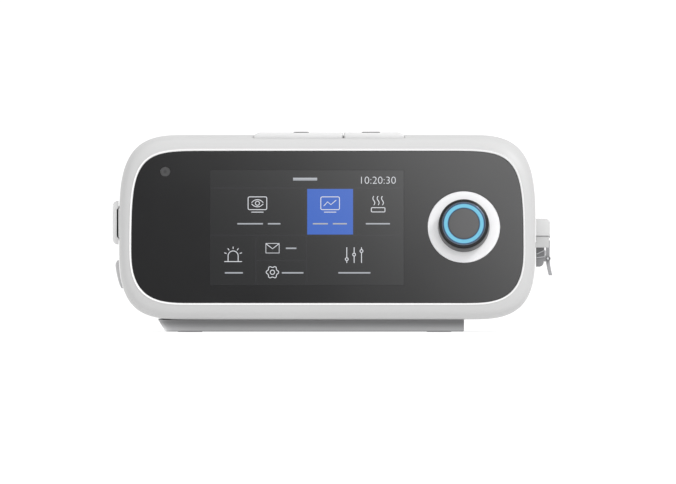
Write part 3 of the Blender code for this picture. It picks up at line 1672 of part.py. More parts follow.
# Water tub, its metal base plate, the seal and the lid with two spouts.
TUB_LEFT = 0.0165
TUB_RIGHT = 0.1030
TUB_HIGH = 0.0330
TUB_WALL = 0.0020
SEAL_THICK = 0.0012
LID_HIGH = 0.0490
TUB_ROUND = 0.0060
SPOUT_OUTER = 0.0066
SPOUT_BORE = 0.0052
tub_front_y = DRAWER_FRONT_Y + SLIDE_CLEAR
tub_rear_y = DRAWER_REAR_Y - SLIDE_CLEAR
tub_low = heater_top + GAP
seal_low = TUB_HIGH + GAP
lid_low = seal_low + SEAL_THICK + GAP
tub_outline = rounded_rectangle(TUB_LEFT, TUB_RIGHT, tub_front_y, tub_rear_y, TUB_ROUND)
tub_inner = grown(tub_outline, -TUB_WALL)
plate_outline = rounded_rectangle(
    HEATER_LEFT, HEATER_RIGHT, DRAWER_FRONT_Y + HEATER_INSET, DRAWER_REAR_Y - HEATER_INSET,
    TUB_ROUND,
)
water_tub = slab(
    "water_tub", tub_outline, tub_low, TUB_HIGH, tub_clear, body, holes=(grown(plate_outline, GAP),)
)
tub_room = slab("tub_room_cut", tub_inner, tub_low + TUB_WALL, TUB_HIGH + TUB_WALL, None, body)
cut(water_tub, tub_room)
slab("tub_base_plate", plate_outline, tub_low, tub_low + TUB_WALL, steel, body)
slab(
    "tub_seal",
    grown(tub_outline, -GAP),
    seal_low,
    seal_low + SEAL_THICK,
    rubber_grey,
    body,
    holes=(grown(tub_outline, GAP - TUB_WALL),),
)
tub_lid = slab("tub_lid", tub_outline, lid_low, LID_HIGH, tub_clear, body)
lid_room = slab("lid_room_cut", tub_inner, lid_low - TUB_WALL, LID_HIGH - TUB_WALL, None, body)
cut(tub_lid, lid_room)
spout_reach = TUB_LEFT - BAY_BACK_X - BAY_WALL - SLIDE_CLEAR / 2
for side, port_y in (("blower", BLOWER_PORT_Y), ("outlet", OUTLET_PORT_Y)):
    spout = rod(side + "_spout", SPOUT_OUTER, -spout_reach, TUB_WALL / 2, None, body,
                (TUB_LEFT, port_y, PORT_Z), (0, pi / 2, 0))
    spout_bore = rod(side + "_spout_cut", SPOUT_BORE, -2 * spout_reach, 2 * TUB_WALL, None, body,
                     (TUB_LEFT, port_y, PORT_Z), (0, pi / 2, 0))
    join(tub_lid, spout)
    cut(tub_lid, spout_bore)

# Drawer front: skin that continues the housing's side, with two ribs to the tub.
FRONT_STEPS = 8
FRONT_SKIN = 0.0028
RIB_THICK = 0.0020
front_low = DRAWER_LOW + GAP
front_high = DRAWER_HIGH - GAP
heights = [front_low + (front_high - front_low) * step / FRONT_STEPS for step in range(FRONT_STEPS + 1)]
drawer_skin = [(body_side(height), height) for height in heights]
drawer_skin += [(body_side(height) - FRONT_SKIN, height) for height in reversed(heights)]
tub_front = loft(
    "drawer_front",
    [
        upright_ring(drawer_skin, DRAWER_FRONT_Y + GAP),
        upright_ring(drawer_skin, DRAWER_REAR_Y - GAP),
    ],
    white,
    body,
)
for number, rib_z in enumerate((tub_low + TUB_WALL, LID_HIGH - 2 * TUB_WALL)):
    rib = block(
        "drawer_rib_%d" % number,
        (TUB_RIGHT + GAP, tub_front_y + TUB_ROUND, rib_z),
        (body_side(rib_z) - FRONT_SKIN / 2, tub_rear_y - TUB_ROUND, rib_z + RIB_THICK),
        None,
        body,
    )
    join(tub_front, rib)


# Latch on the right: hood on the housing, bracket on the drawer, lever just under the hood's lip.
LATCH_Y = 0.0330
HOOD_FRONT_Y = 0.0190
HOOD_REAR_Y = 0.0480
CHEEK_LOW = 0.0465
CHEEK_THICK = 0.0034
BRACKET_HALF = 0.0085
LEVER_HALF = 0.0055
HOOD_LOW = 0.0531
HOOD_HIGH = 0.0629
HOOD_ROUND = 0.0022
LIP_LOW = 0.0517
LIP_WIDTH = 0.0012
LIP_FRONT_Y = 0.0260
GUARD_THICK = 0.0030
BRACKET_INSET = 0.0035
BRACKET_LOW = 0.0358
BRACKET_HIGH = 0.0465
BRACKET_ROUND = 0.0026
BRACKET_SLOPE = 0.0010
PIN_INSET = 0.0013
PIN_Z = 0.0403
PIN_RADIUS = 0.0008
EAR_RADIUS = 0.0016
LEVER_TOP = 0.0514
LEVER_SHOULDER = 0.0504
LEVER_LOW = 0.0310
LEVER_INSET = 0.0023
LEVER_THICK = 0.0022
LEVER_TIP_SHARE = 0.7
LEVER_NOSE = 0.0014
LEVER_STEPS = 7
side_frame = frame_empty("side_frame", (0, LATCH_Y, 0), (pi / 2, 0, 0), body)
latch_inner = BODY_WIDTH / 2 + GAP
bracket_outer = hood_outer - BRACKET_INSET
pin_x = hood_outer - PIN_INSET
lever_left = hood_outer - LEVER_INSET
hood_outline = [
    (latch_inner, HOOD_HIGH),
    (latch_inner, HOOD_LOW),
    (hood_outer, HOOD_LOW),
]
hood_outline += quarter(hood_outer - HOOD_ROUND, HOOD_HIGH - HOOD_ROUND, HOOD_ROUND, 0)
latch_hood = slab(
    "latch_hood", hood_outline, LATCH_Y - HOOD_REAR_Y, LATCH_Y - HOOD_FRONT_Y, white, side_frame
)
hood_lip = block(
    "hood_lip",
    (hood_outer - LIP_WIDTH, LIP_LOW, LATCH_Y - HOOD_REAR_Y),
    (hood_outer, HOOD_LOW + EDGE_BREAK, LATCH_Y - LIP_FRONT_Y),
    None,
    side_frame,
)
cheek = block(
    "hood_cheek",
    (latch_inner, CHEEK_LOW, LATCH_Y - HOOD_REAR_Y),
    (hood_outer - LIP_WIDTH / 2, HOOD_HIGH - HOOD_ROUND, LATCH_Y - HOOD_REAR_Y + CHEEK_THICK),
    None,
    side_frame,
)
join(latch_hood, hood_lip, cheek)

# Guard plate on the drawer front: it closes the space under the hood in front of the lever.
guard_outline = [
    (BODY_WIDTH / 2 - FRONT_SKIN / 2, BRACKET_HIGH),
    (hood_outer - EDGE_BREAK, BRACKET_HIGH),
    (hood_outer - EDGE_BREAK, HOOD_LOW - GAP),
    (latch_inner, HOOD_LOW - GAP),
    (latch_inner, front_high - GAP),
    (BODY_WIDTH / 2 - FRONT_SKIN / 2, front_high - GAP),
]
guard_face = LATCH_Y - HOOD_FRONT_Y - EDGE_BREAK
guard_plate = slab("guard_plate", guard_outline, guard_face - GUARD_THICK, guard_face, None, side_frame)
join(tub_front, guard_plate)
bracket_outline = [(latch_inner, BRACKET_HIGH), (latch_inner, BRACKET_LOW)]
bracket_outline += quarter(
    bracket_outer - BRACKET_ROUND, BRACKET_LOW + BRACKET_ROUND, BRACKET_ROUND, 3
)
bracket_outline.append((bracket_outer, PIN_Z + 2 * EAR_RADIUS))
bracket_outline.append((bracket_outer - BRACKET_SLOPE, BRACKET_HIGH))
latch_bracket = slab(
    "latch_bracket", bracket_outline, -BRACKET_HALF, BRACKET_HALF, bracket_grey, side_frame
)
ear_width = BRACKET_HALF - LEVER_HALF - GAP
for side, near in (("front", LEVER_HALF + GAP), ("rear", -BRACKET_HALF)):
    ear_outline = [(bracket_outer - EAR_RADIUS, PIN_Z - EAR_RADIUS)]
    ear_outline += quarter(pin_x, PIN_Z, EAR_RADIUS, 3)
    ear_outline += quarter(pin_x, PIN_Z, EAR_RADIUS, 0)[1:]
    ear_outline.append((bracket_outer - EAR_RADIUS, PIN_Z + EAR_RADIUS))
    ear = slab(side + "_ear", ear_outline, near, near + ear_width, None, side_frame)
    join(latch_bracket, ear)
ear_bore = rod("ear_bore_cut", PIN_RADIUS + GAP, -2 * BRACKET_HALF, 2 * BRACKET_HALF, None,
               side_frame, (pin_x, PIN_Z, 0), steps=SMALL_STEPS)
cut(latch_bracket, ear_bore)
rod("latch_pin", PIN_RADIUS, -BRACKET_HALF, BRACKET_HALF, steel, side_frame,
    (pin_x, PIN_Z, 0), steps=SMALL_STEPS)


def lever_sweep(rise):
    """How far the lever has curved out at a height."""
    share = max(0, (PIN_Z - rise) / (PIN_Z - LEVER_LOW))
    tip = LEVER_REACH + LEVER_INSET - LEVER_THICK * LEVER_TIP_SHARE
    return tip * share**1.6


lever_outer = []
lever_inner = []
for step in range(LEVER_STEPS + 1):
    share = step / LEVER_STEPS
    rise = LEVER_SHOULDER + (LEVER_LOW - LEVER_SHOULDER) * share
    thick = LEVER_THICK * (1 - (1 - LEVER_TIP_SHARE) * share)
    lever_outer.append((lever_left + lever_sweep(rise) + thick, rise))
    lever_inner.append((lever_left + lever_sweep(rise), rise))
nose_left = hood_outer - LIP_WIDTH - GAP - LEVER_NOSE
lever_outline = [(nose_left, LEVER_TOP), (nose_left, LEVER_SHOULDER - LEVER_NOSE)]
lever_outline += lever_inner[1:]
lever_outline += lever_outer[::-1]
lever_outline.append((nose_left + LEVER_NOSE, LEVER_SHOULDER))
lever_outline.append((nose_left + LEVER_NOSE, LEVER_TOP))
latch_lever = slab("latch_lever", lever_outline, -LEVER_HALF, LEVER_HALF, bracket_grey, side_frame)
lever_boss = rod("lever_boss", EAR_RADIUS, -LEVER_HALF, LEVER_HALF, None, side_frame,
                 (pin_x, PIN_Z, 0), steps=SMALL_STEPS)
lever_bore = rod("lever_bore_cut", PIN_RADIUS + RUNNING, -BRACKET_HALF, BRACKET_HALF, None,
                 side_frame, (pin_x, PIN_Z, 0), steps=SMALL_STEPS)
join(latch_lever, lever_boss)
cut(latch_lever, lever_bore)
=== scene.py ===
from math import asin, cos, pi, radians, sin, tan

import bpy
from mathutils import Euler, Matrix, Vector


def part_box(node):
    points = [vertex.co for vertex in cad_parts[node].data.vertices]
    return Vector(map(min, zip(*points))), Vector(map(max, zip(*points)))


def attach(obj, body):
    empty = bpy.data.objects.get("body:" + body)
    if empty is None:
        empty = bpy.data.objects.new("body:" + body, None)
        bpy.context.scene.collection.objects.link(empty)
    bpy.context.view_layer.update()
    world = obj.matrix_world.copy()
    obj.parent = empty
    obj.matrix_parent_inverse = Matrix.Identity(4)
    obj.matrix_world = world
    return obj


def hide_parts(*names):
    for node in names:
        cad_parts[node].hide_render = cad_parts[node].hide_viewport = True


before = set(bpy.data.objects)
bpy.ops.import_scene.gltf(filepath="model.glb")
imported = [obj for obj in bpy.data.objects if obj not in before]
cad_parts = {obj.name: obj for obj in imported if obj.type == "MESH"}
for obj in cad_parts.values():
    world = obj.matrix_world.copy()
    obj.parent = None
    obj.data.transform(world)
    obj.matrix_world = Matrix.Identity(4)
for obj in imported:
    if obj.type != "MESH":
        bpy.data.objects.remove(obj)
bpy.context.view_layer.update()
MM = 0.001


# Chassis, muffler and tub bay: light grey ABS. Ducts and impeller: white polypropylene. All are moulded.
# The colour shifts by a shade over a few centimetres, as moulded parts do, and the face has a fine grain.
def to_linear(code):
    """A colour written as sRGB hex, as the linear values that a shader takes."""
    shares = [int(code[i : i + 2], 16) / 255 for i in (1, 3, 5)]
    return (*[s / 12.92 if s <= 0.04045 else ((s + 0.055) / 1.055) ** 2.4 for s in shares], 1.0)


def add_node(material, kind, settings=(), links=()):
    """Adds a node, gives it its settings, and links outputs of other nodes to its inputs."""
    node = material.node_tree.nodes.new(kind)
    for name, value in dict(settings).items():
        if name in node.inputs:
            node.inputs[name].default_value = value
        else:
            setattr(node, name, value)
    for name, source in dict(links).items():
        material.node_tree.links.new(source, node.inputs[name])
    return node


def new_material(name, **settings):
    """A material with these values on its shader's own sockets, the shader, and the place on the piece."""
    material = bpy.data.materials.new(name)
    material.use_nodes = True
    shader = material.node_tree.nodes["Principled BSDF"]
    for key, value in settings.items():
        shader.inputs[key.replace("_", " ")].default_value = value
    where = add_node(material, "ShaderNodeTexCoord").outputs["Object"]
    return material, shader, where


def two_tones(material, where, colour, shade, size, detail=2):
    """A colour that drifts between two shades over patches of a size, as an output to link."""
    settings = {"Scale": 1 / size, "Detail": detail}
    drift = add_node(material, "ShaderNodeTexNoise", settings, {"Vector": where})
    mix = add_node(
        material,
        "ShaderNodeMixRGB",
        {"Color1": to_linear(colour), "Color2": to_linear(shade)},
        {"Fac": drift.outputs["Fac"]},
    )
    return mix.outputs["Color"]


def moulded(name, colour, shade, roughness, grain_mm=0.35, depth_mm=0.006, ior=1.5):
    """Moulded plastic: a slow drift between two shades, uneven gloss and a fine spark grain."""
    material, shader, where = new_material(name, IOR=ior)
    tone = two_tones(material, where, colour, shade, 45 * MM, 3)
    grain = add_node(
        material, "ShaderNodeTexNoise", {"Scale": 1 / (grain_mm * MM), "Detail": 2}, {"Vector": where}
    )
    gloss = add_node(
        material,
        "ShaderNodeMapRange",
        {"To Min": roughness - 0.05, "To Max": roughness + 0.07},
        {"Value": grain.outputs["Fac"]},
    )
    bump = add_node(
        material,
        "ShaderNodeBump",
        {"Strength": 0.35, "Distance": depth_mm * MM},
        {"Height": grain.outputs["Fac"]},
    )
    link = material.node_tree.links.new
    link(tone, shader.inputs["Base Color"])
    link(gloss.outputs["Result"], shader.inputs["Roughness"])
    link(bump.outputs["Normal"], shader.inputs["Normal"])
    return material


def dress(material, *nodes):
    """Gives CAD nodes that keep their shape their finish."""
    for node in nodes:
        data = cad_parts[node].data
        data.materials.clear()
        data.materials.append(material)


inner_abs = moulded("moulded_grey_abs", "#d0d1d4", "#c6c7ca", 0.5)
dress(inner_abs, "chassis_tray", "inlet_muffler", "humidifier_bay")
duct_abs = moulded("moulded_white_pp", "#dcdee0", "#d2d4d7", 0.42, grain_mm=0.5)
dress(duct_abs, "air_duct", "outlet_duct", "impeller")


# Blower, display, encoder and switch bodies: black glass-filled nylon and PBT, moulded with a matt face.
# Glass fibre near the face gives a slightly cloudy black.
filled_nylon = moulded("moulded_filled_nylon", "#2b2b2c", "#222223", 0.55, grain_mm=0.6, depth_mm=0.01)
dress(filled_nylon, "blower_lower_housing", "blower_upper_housing", "display_module", "encoder_body")
dress(filled_nylon, "left_key_switch", "right_key_switch", "speaker", "flow_sensor")


# Circuit boards: glass cloth laminate under a green solder mask, with copper tracks as a darker web.
# The mask is glossy, and the tracks are drawn four millimetres apart, coarser than real, so that they show.
def solder_mask(name, colour, track):
    material, shader, where = new_material(name, IOR=1.55, Roughness=0.32)
    tracks = add_node(
        material,
        "ShaderNodeTexVoronoi",
        {"distance": "CHEBYCHEV", "Scale": 1 / (4 * MM)},
        {"Vector": where},
    )
    edge = add_node(
        material,
        "ShaderNodeMapRange",
        {"From Min": 0.42, "From Max": 0.5},
        {"Value": tracks.outputs["Distance"]},
    )
    mix = add_node(
        material,
        "ShaderNodeMixRGB",
        {"Color1": to_linear(colour), "Color2": to_linear(track)},
        {"Fac": edge.outputs["Result"]},
    )
    material.node_tree.links.new(mix.outputs["Color"], shader.inputs["Base Color"])
    return material


dress(solder_mask("green_solder_mask", "#1d6b3e", "#15522f"), "main_board", "interface_board", "key_board")


# Bearings and shafts: turned steel. Display bracket, card socket and tub base: stamped stainless steel.
# Heater plate: rolled aluminium. Motor coils: wound copper. Fine tool lines break up their reflections.
def tooled_metal(name, colour, shade, roughness, line_mm, stretch=(1, 1, 12)):
    material, shader, where = new_material(name, Metallic=1.0)
    along = add_node(material, "ShaderNodeMapping", {"Scale": stretch}, {"Vector": where})
    lines = add_node(
        material,
        "ShaderNodeTexNoise",
        {"Scale": 1 / (line_mm * MM), "Detail": 4},
        {"Vector": along.outputs["Vector"]},
    )
    mix = add_node(
        material,
        "ShaderNodeMixRGB",
        {"Color1": to_linear(colour), "Color2": to_linear(shade)},
        {"Fac": lines.outputs["Fac"]},
    )
    gloss = add_node(
        material,
        "ShaderNodeMapRange",
        {"To Min": roughness - 0.08, "To Max": roughness + 0.1},
        {"Value": lines.outputs["Fac"]},
    )
    material.node_tree.links.new(mix.outputs["Color"], shader.inputs["Base Color"])
    material.node_tree.links.new(gloss.outputs["Result"], shader.inputs["Roughness"])
    return material


turned_steel = tooled_metal("turned_steel", "#c9cacc", "#b2b3b6", 0.3, 2.0)
dress(turned_steel, "upper_bearing", "lower_bearing", "motor_rotor", "knob_shaft", "encoder_sleeve")
stamped_steel = tooled_metal("stamped_stainless_steel", "#cfd0d2", "#bcbdbf", 0.34, 3.0, (1, 14, 1))
dress(stamped_steel, "display_bracket", "card_socket", "tub_base_plate")
dress(tooled_metal("rolled_aluminium", "#dcdddf", "#cacbce", 0.36, 4.0, (1, 16, 1)), "heater_plate")
dress(tooled_metal("wound_copper", "#c98a5a", "#9c5f38", 0.4, 1.2, (1, 1, 30)), "motor_stator")


# Blower mount and tub seal: light grey silicone, moulded, and clamped between the pieces that they part.
# It is soft and matt, with a faint dusty sheen.
silicone = moulded(
    "moulded_grey_silicone", "#b9babd", "#aeafb2", 0.68, grain_mm=0.8, depth_mm=0.01, ior=1.42
)
dress(silicone, "blower_mount", "tub_seal")


# Filter and sound lining: polyester fleece, and open-cell polyurethane foam cut from a sheet.
# The cells and tufts are drawn about a millimetre wide, coarser than real, so that they show.
def open_cells(name, colour, shade, cell_mm, depth_mm):
    material, shader, where = new_material(name, Roughness=0.95, IOR=1.45)
    cells = add_node(material, "ShaderNodeTexVoronoi", {"Scale": 1 / (cell_mm * MM)}, {"Vector": where})
    mix = add_node(
        material,
        "ShaderNodeMixRGB",
        {"Color1": to_linear(shade), "Color2": to_linear(colour)},
        {"Fac": cells.outputs["Distance"]},
    )
    bump = add_node(
        material,
        "ShaderNodeBump",
        {"Strength": 0.8, "Distance": depth_mm * MM},
        {"Height": cells.outputs["Distance"]},
    )
    material.node_tree.links.new(mix.outputs["Color"], shader.inputs["Base Color"])
    material.node_tree.links.new(bump.outputs["Normal"], shader.inputs["Normal"])
    return material


dress(open_cells("cut_polyurethane_foam", "#6c6c70", "#3e3e42", 1.2, 0.3), "foam_lining")
dress(open_cells("polyester_fleece", "#e2ecf4", "#b9cbdc", 0.9, 0.15), "air_filter")


# Pedestal: grey ABS moulding under the housing, with the left end slanted and the right end upright.
# Its edges are softly broken, and four round pockets in its underside hold the feet.
def pick_none():
    bpy.ops.object.select_all(action="DESELECT")


def settle(piece, name, body, material, smooth=None):
    """Leaves a piece at the origin, unturned, with its name, finish, normals and body."""
    pick_none()
    piece.select_set(True)
    bpy.context.view_layer.objects.active = piece
    bpy.ops.object.transform_apply(location=True, rotation=True, scale=True)
    if smooth is None:
        bpy.ops.object.shade_flat()
    else:
        bpy.ops.object.shade_smooth_by_angle(angle=radians(smooth))
    piece.name = name
    piece.data.name = name
    piece.data.materials.clear()
    piece.data.materials.append(material)
    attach(piece, body)


def edit(piece, kind, chosen):
    """Enters edit mode on a piece with only the chosen vertices, edges or faces selected."""
    pick_none()
    piece.select_set(True)
    bpy.context.view_layer.objects.active = piece
    data = piece.data
    for group in (data.vertices, data.edges, data.polygons):
        group.foreach_set("select", [False] * len(group))
    group = {"VERT": data.vertices, "EDGE": data.edges, "FACE": data.polygons}[kind]
    for item in group:
        if chosen(item):
            item.select = True
    bpy.ops.object.mode_set(mode="EDIT")
    bpy.ops.mesh.select_mode(type=kind)


def leave_edit():
    bpy.ops.object.mode_set(mode="OBJECT")


def apply_modifier(piece, kind, **settings):
    pick_none()
    piece.select_set(True)
    bpy.context.view_layer.objects.active = piece
    modifier = piece.modifiers.new(kind.lower(), kind)
    for key, value in settings.items():
        setattr(modifier, key, value)
    bpy.ops.object.modifier_apply(modifier=modifier.name)


def cut_with(piece, *cutters):
    """Cuts closed shapes out of a piece and removes them."""
    for cutter in cutters:
        apply_modifier(piece, "BOOLEAN", operation="DIFFERENCE", object=cutter, solver="EXACT")
        bpy.data.objects.remove(cutter)


def join_to(piece, *others):
    for other in others:
        apply_modifier(piece, "BOOLEAN", operation="UNION", object=other, solver="EXACT")
        bpy.data.objects.remove(other)


def round_edges(piece, width_mm, segments):
    """Rounds the sharp edges of a piece and leaves its gentle ones."""
    apply_modifier(
        piece,
        "BEVEL",
        width=width_mm * MM,
        segments=segments,
        limit_method="ANGLE",
        angle_limit=radians(50),
    )


def drum(radius, depth, middle, vertices=32, turn=(0, 0, 0)):
    """A cylinder primitive added round a middle, upright unless it is turned."""
    pick_none()
    bpy.ops.mesh.primitive_cylinder_add(
        vertices=vertices, radius=radius, depth=depth, location=middle, rotation=turn
    )
    return bpy.context.object


def box_between(low, high):
    """A cube primitive added between two corners."""
    pick_none()
    low, high = Vector(low), Vector(high)
    bpy.ops.mesh.primitive_cube_add(size=1, location=(low + high) / 2, scale=high - low)
    bpy.ops.object.transform_apply(location=True, rotation=True, scale=True)
    return bpy.context.object


def skin(loops, closed=False):
    """A circle primitive laid on the first outline, then extruded from outline to outline and closed."""
    pick_none()
    bpy.ops.mesh.primitive_circle_add(vertices=len(loops[0]), radius=1, fill_type="NOTHING")
    piece = bpy.context.object
    for vertex, place in zip(piece.data.vertices, loops[0]):
        vertex.co = place
    count = len(loops[0])
    for loop in loops[1:]:
        last = len(piece.data.vertices) - count
        edit(piece, "VERT", lambda vertex: vertex.index >= last)
        bpy.ops.mesh.extrude_region_move()
        leave_edit()
        for vertex, place in zip(piece.data.vertices[-count:], loop):
            vertex.co = place
    total = len(piece.data.vertices)
    if closed:
        edit(piece, "VERT", lambda vertex: vertex.index < count or vertex.index >= total - count)
        bpy.ops.mesh.select_mode(type="EDGE")
        bpy.ops.mesh.bridge_edge_loops()
        leave_edit()
    else:
        for first in (0, total - count):
            edit(piece, "VERT", lambda vertex: first <= vertex.index < first + count)
            bpy.ops.mesh.edge_face_add()
            leave_edit()
    edit(piece, "FACE", lambda face: True)
    bpy.ops.mesh.normals_make_consistent(inside=False)
    leave_edit()
    return piece


pedestal_painted_shade_abs = moulded("moulded_pedestal_abs_painted_shade", "#ededef", "#e3e3e5", 0.5, grain_mm=0.4)
base_low, base_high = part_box("base_pedestal")
SLANT = 3.7 * MM
# Painted shade and light: the colour is darker towards the top, under the housing's overhang, and in a thin
# line along the lower edge, and lighter along the slanted left end.
PAINTED_SHADE_HEIGHT = 8 * MM
PAINTED_LIGHT_REACH = 20 * MM
PAINTED_SHADE_BY_HEIGHT = (
    (0.07, 0.6),
    (0.139, 0.97),
    (0.209, 0.87),
    (0.35, 0.72),
    (0.4125, 0.63),
    (0.5625, 0.5),
    (0.7, 0.44),
    (0.78, 0.52),
    (0.86, 0.9),
)
PAINTED_LIGHT_BY_END = ((0.0, 1.0), (0.07, 0.98), (0.12, 0.74), (0.25, 0.6), (0.6, 0.54), (1.0, 0.51))
place = pedestal_painted_shade_abs.node_tree.nodes["Texture Coordinate"].outputs["Object"]
pedestal_shader = pedestal_painted_shade_abs.node_tree.nodes["Principled BSDF"]
painted_shade_colour = pedestal_shader.inputs["Base Color"].links[0].from_socket
# Each pass multiplies the colour by a ramp of painted shade: one by height, one along the slanted left end.
for along, start, length, shades in (
    ((0, 0, 1), 0, PAINTED_SHADE_HEIGHT, PAINTED_SHADE_BY_HEIGHT),
    ((1, 0, SLANT / (base_high.z - base_low.z)), base_low.x + SLANT, PAINTED_LIGHT_REACH, PAINTED_LIGHT_BY_END),
):
    reach = add_node(pedestal_painted_shade_abs, "ShaderNodeVectorMath", {"operation": "DOT_PRODUCT"})
    pedestal_painted_shade_abs.node_tree.links.new(place, reach.inputs[0])
    reach.inputs[1].default_value = along
    share = add_node(
        pedestal_painted_shade_abs,
        "ShaderNodeMapRange",
        {"From Min": start, "From Max": start + length},
        {"Value": reach.outputs["Value"]},
    )
    steps = add_node(pedestal_painted_shade_abs, "ShaderNodeValToRGB", (), {"Fac": share.outputs["Result"]})
    while len(steps.color_ramp.elements) < len(shades):
        steps.color_ramp.elements.new(0.5)
    for element, (position, shade) in zip(steps.color_ramp.elements, shades):
        element.position = position
        element.color = (shade, shade, shade, 1)
    darker = add_node(
        pedestal_painted_shade_abs,
        "ShaderNodeMixRGB",
        {"blend_type": "MULTIPLY", "Fac": 1.0},
        {"Color1": painted_shade_colour, "Color2": steps.outputs["Color"]},
    )
    painted_shade_colour = darker.outputs["Color"]
pedestal_painted_shade_abs.node_tree.links.new(painted_shade_colour, pedestal_shader.inputs["Base Color"])
BASE_CORNER = 3.4 * MM
BASE_EDGE = 0.6 * MM
POCKET_GAP = 0.3 * MM
POCKET_TOP = 2.8 * MM


def base_loop(left, height, inward=0):
    """The pedestal's outline at a height, with rounder corners on the left than on the right."""
    loop = []
    for x, y, radius, turn in (
        (left, base_low.y, BASE_CORNER, pi),
        (base_high.x, base_low.y, BASE_EDGE, 1.5 * pi),
        (base_high.x, base_high.y, BASE_EDGE, 0),
        (left, base_high.y, BASE_CORNER, 0.5 * pi),
    ):
        side_x = 1 if x == left else -1
        side_y = 1 if y == base_low.y else -1
        for step in range(5):
            angle = turn + step * pi / 8
            loop.append(
                (
                    x + side_x * (radius + inward) + radius * cos(angle),
                    y + side_y * (radius + inward) + radius * sin(angle),
                    height,
                )
            )
    return loop


left_low = base_low.x + SLANT
pedestal = skin(
    [
        base_loop(left_low + BASE_EDGE, base_low.z, BASE_EDGE),
        base_loop(left_low + BASE_EDGE * 0.3, base_low.z + BASE_EDGE * 0.3, BASE_EDGE * 0.3),
        base_loop(left_low, base_low.z + BASE_EDGE),
        base_loop(base_low.x, base_high.z),
    ]
)
foot_boxes = [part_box("foot_%d" % number) for number in (1, 2, 3, 4)]
for low, high in foot_boxes:
    middle = ((low.x + high.x) / 2, (low.y + high.y) / 2, POCKET_TOP - 3 * MM)
    cut_with(pedestal, drum((high.x - low.x) / 2 + POCKET_GAP, 6 * MM, middle, 48))
round_edges(pedestal, 0.2, 2)
settle(pedestal, "pedestal", "housing", pedestal_painted_shade_abs, 35)
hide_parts("base_pedestal")


# Feet: four dark rubber discs pressed into the pedestal, with a rounded lower edge and a dished middle.
# Moulded rubber is matt, a little dusty, and slightly pebbled.
rubber = moulded("moulded_rubber", "#3a3a3c", "#2f2f31", 0.82, grain_mm=0.6, depth_mm=0.03, ior=1.52)
TREAD_WIDTH = 2.2 * MM
DISH_SLOPE = 0.6 * MM
DISH_DEPTH = 0.5 * MM
for number, (low, high) in enumerate(foot_boxes, 1):
    foot = drum((high.x - low.x) / 2, high.z - low.z, (low + high) / 2, 64)
    edit(foot, "FACE", lambda face: face.normal.z < -0.9)
    bpy.ops.mesh.inset(thickness=TREAD_WIDTH)
    bpy.ops.mesh.inset(thickness=DISH_SLOPE, depth=-DISH_DEPTH)
    leave_edit()
    round_edges(foot, 0.4, 3)
    settle(foot, "rubber_foot_%d" % number, "housing", rubber, 40)
    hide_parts("foot_%d" % number)


# Rear housing: the deep back half of the case, injection moulded in white ABS with a satin face.
# Its outline is a soft squared oval that draws in towards the back; ports, slots and doors are cut in it.
# Its own sizes start at the middle of its width, on the table.
HOUSING = Vector((-2.9 * MM, -5.5537 * MM, 0))
BODY_HALF = 116 * MM
BODY_LOW = 7 * MM
BODY_HIGH = 109.1 * MM
FRONT_Y = -71.8 * MM
PANEL_Z = 58.5 * MM
TILT = radians(9)
PARTING = 24 * MM
WALL = 2.6 * MM
GAP = 0.3 * MM
EDGE_BREAK = 0.6 * MM
CORNER_STEPS = 30
CORNER_WIDTH = 40.1 * MM
UPPER_CORNER = 54 * MM
LOWER_CORNER = 44.7 * MM
CORNER_POWER = 3.44


def corner(width, height, side_power, rise_power, reach):
    """Offsets from the side and the level edge of a soft corner, from the side round to the edge."""
    first = asin((1 - reach / height) ** (rise_power / 2)) if reach < height else 0
    offsets = []
    for step in range(CORNER_STEPS + 1):
        angle = first + (pi / 2 - first) * step / CORNER_STEPS
        across = width * (1 - abs(cos(angle)) ** (2 / side_power))
        rise = height * (1 - sin(angle) ** (2 / rise_power))
        offsets.append((across, rise))
    return offsets


def soft_outline(half, low, high, upper, lower):
    right_up = [(half - across, high - rise) for across, rise in upper]
    right_down = [(half - across, low + rise) for across, rise in lower]
    left_up = [(-across, rise) for across, rise in reversed(right_up)]
    left_down = [(-across, rise) for across, rise in right_down]
    return right_up + left_up + left_down + right_down[::-1]


def grown(outline, amount):
    """The outline moved outwards square to itself, or inwards for a negative amount."""
    moved = []
    for step, here in enumerate(outline):
        before = Vector(outline[step - 1])
        after = Vector(outline[(step + 1) % len(outline)])
        run = (after - before).normalized()
        moved.append((here[0] + run.y * amount, here[1] - run.x * amount))
    return moved


def front_loop(outline, back=0, inward=0):
    """The outline on the tilted front, moved back level by one amount and square to it by another."""
    return [
        HOUSING
        + Vector(
            (
                across,
                FRONT_Y + (rise - PANEL_Z) * tan(TILT) + back + inward * cos(TILT),
                rise - inward * sin(TILT),
            )
        )
        for across, rise in outline
    ]


def upright_loop(outline, y):
    return [HOUSING + Vector((across, y, rise)) for across, rise in outline]


def body_side(rise):
    """Half the housing's width, in millimetres, at a height in millimetres below its upper corners."""
    share = max(0, BODY_LOW + LOWER_CORNER - rise * MM) / LOWER_CORNER
    inset = CORNER_WIDTH * (1 - (1 - share**CORNER_POWER) ** (1 / CORNER_POWER))
    return (BODY_HALF - inset) / MM


body_outline = soft_outline(
    BODY_HALF,
    BODY_LOW,
    BODY_HIGH,
    corner(CORNER_WIDTH, UPPER_CORNER, CORNER_POWER, CORNER_POWER, UPPER_CORNER),
    corner(CORNER_WIDTH, LOWER_CORNER, CORNER_POWER, CORNER_POWER, LOWER_CORNER),
)
inner_body = grown(body_outline, -WALL)
REAR_Y = 80 * MM
LEVEL_Y = 48 * MM
BACK_INSET = 15 * MM
BACK_STEPS = 12
outer_loops = [
    front_loop(grown(body_outline, -EDGE_BREAK), PARTING + GAP),
    front_loop(grown(body_outline, -0.3 * EDGE_BREAK), PARTING + GAP + 0.3 * EDGE_BREAK),
    front_loop(body_outline, PARTING + GAP + EDGE_BREAK),
]
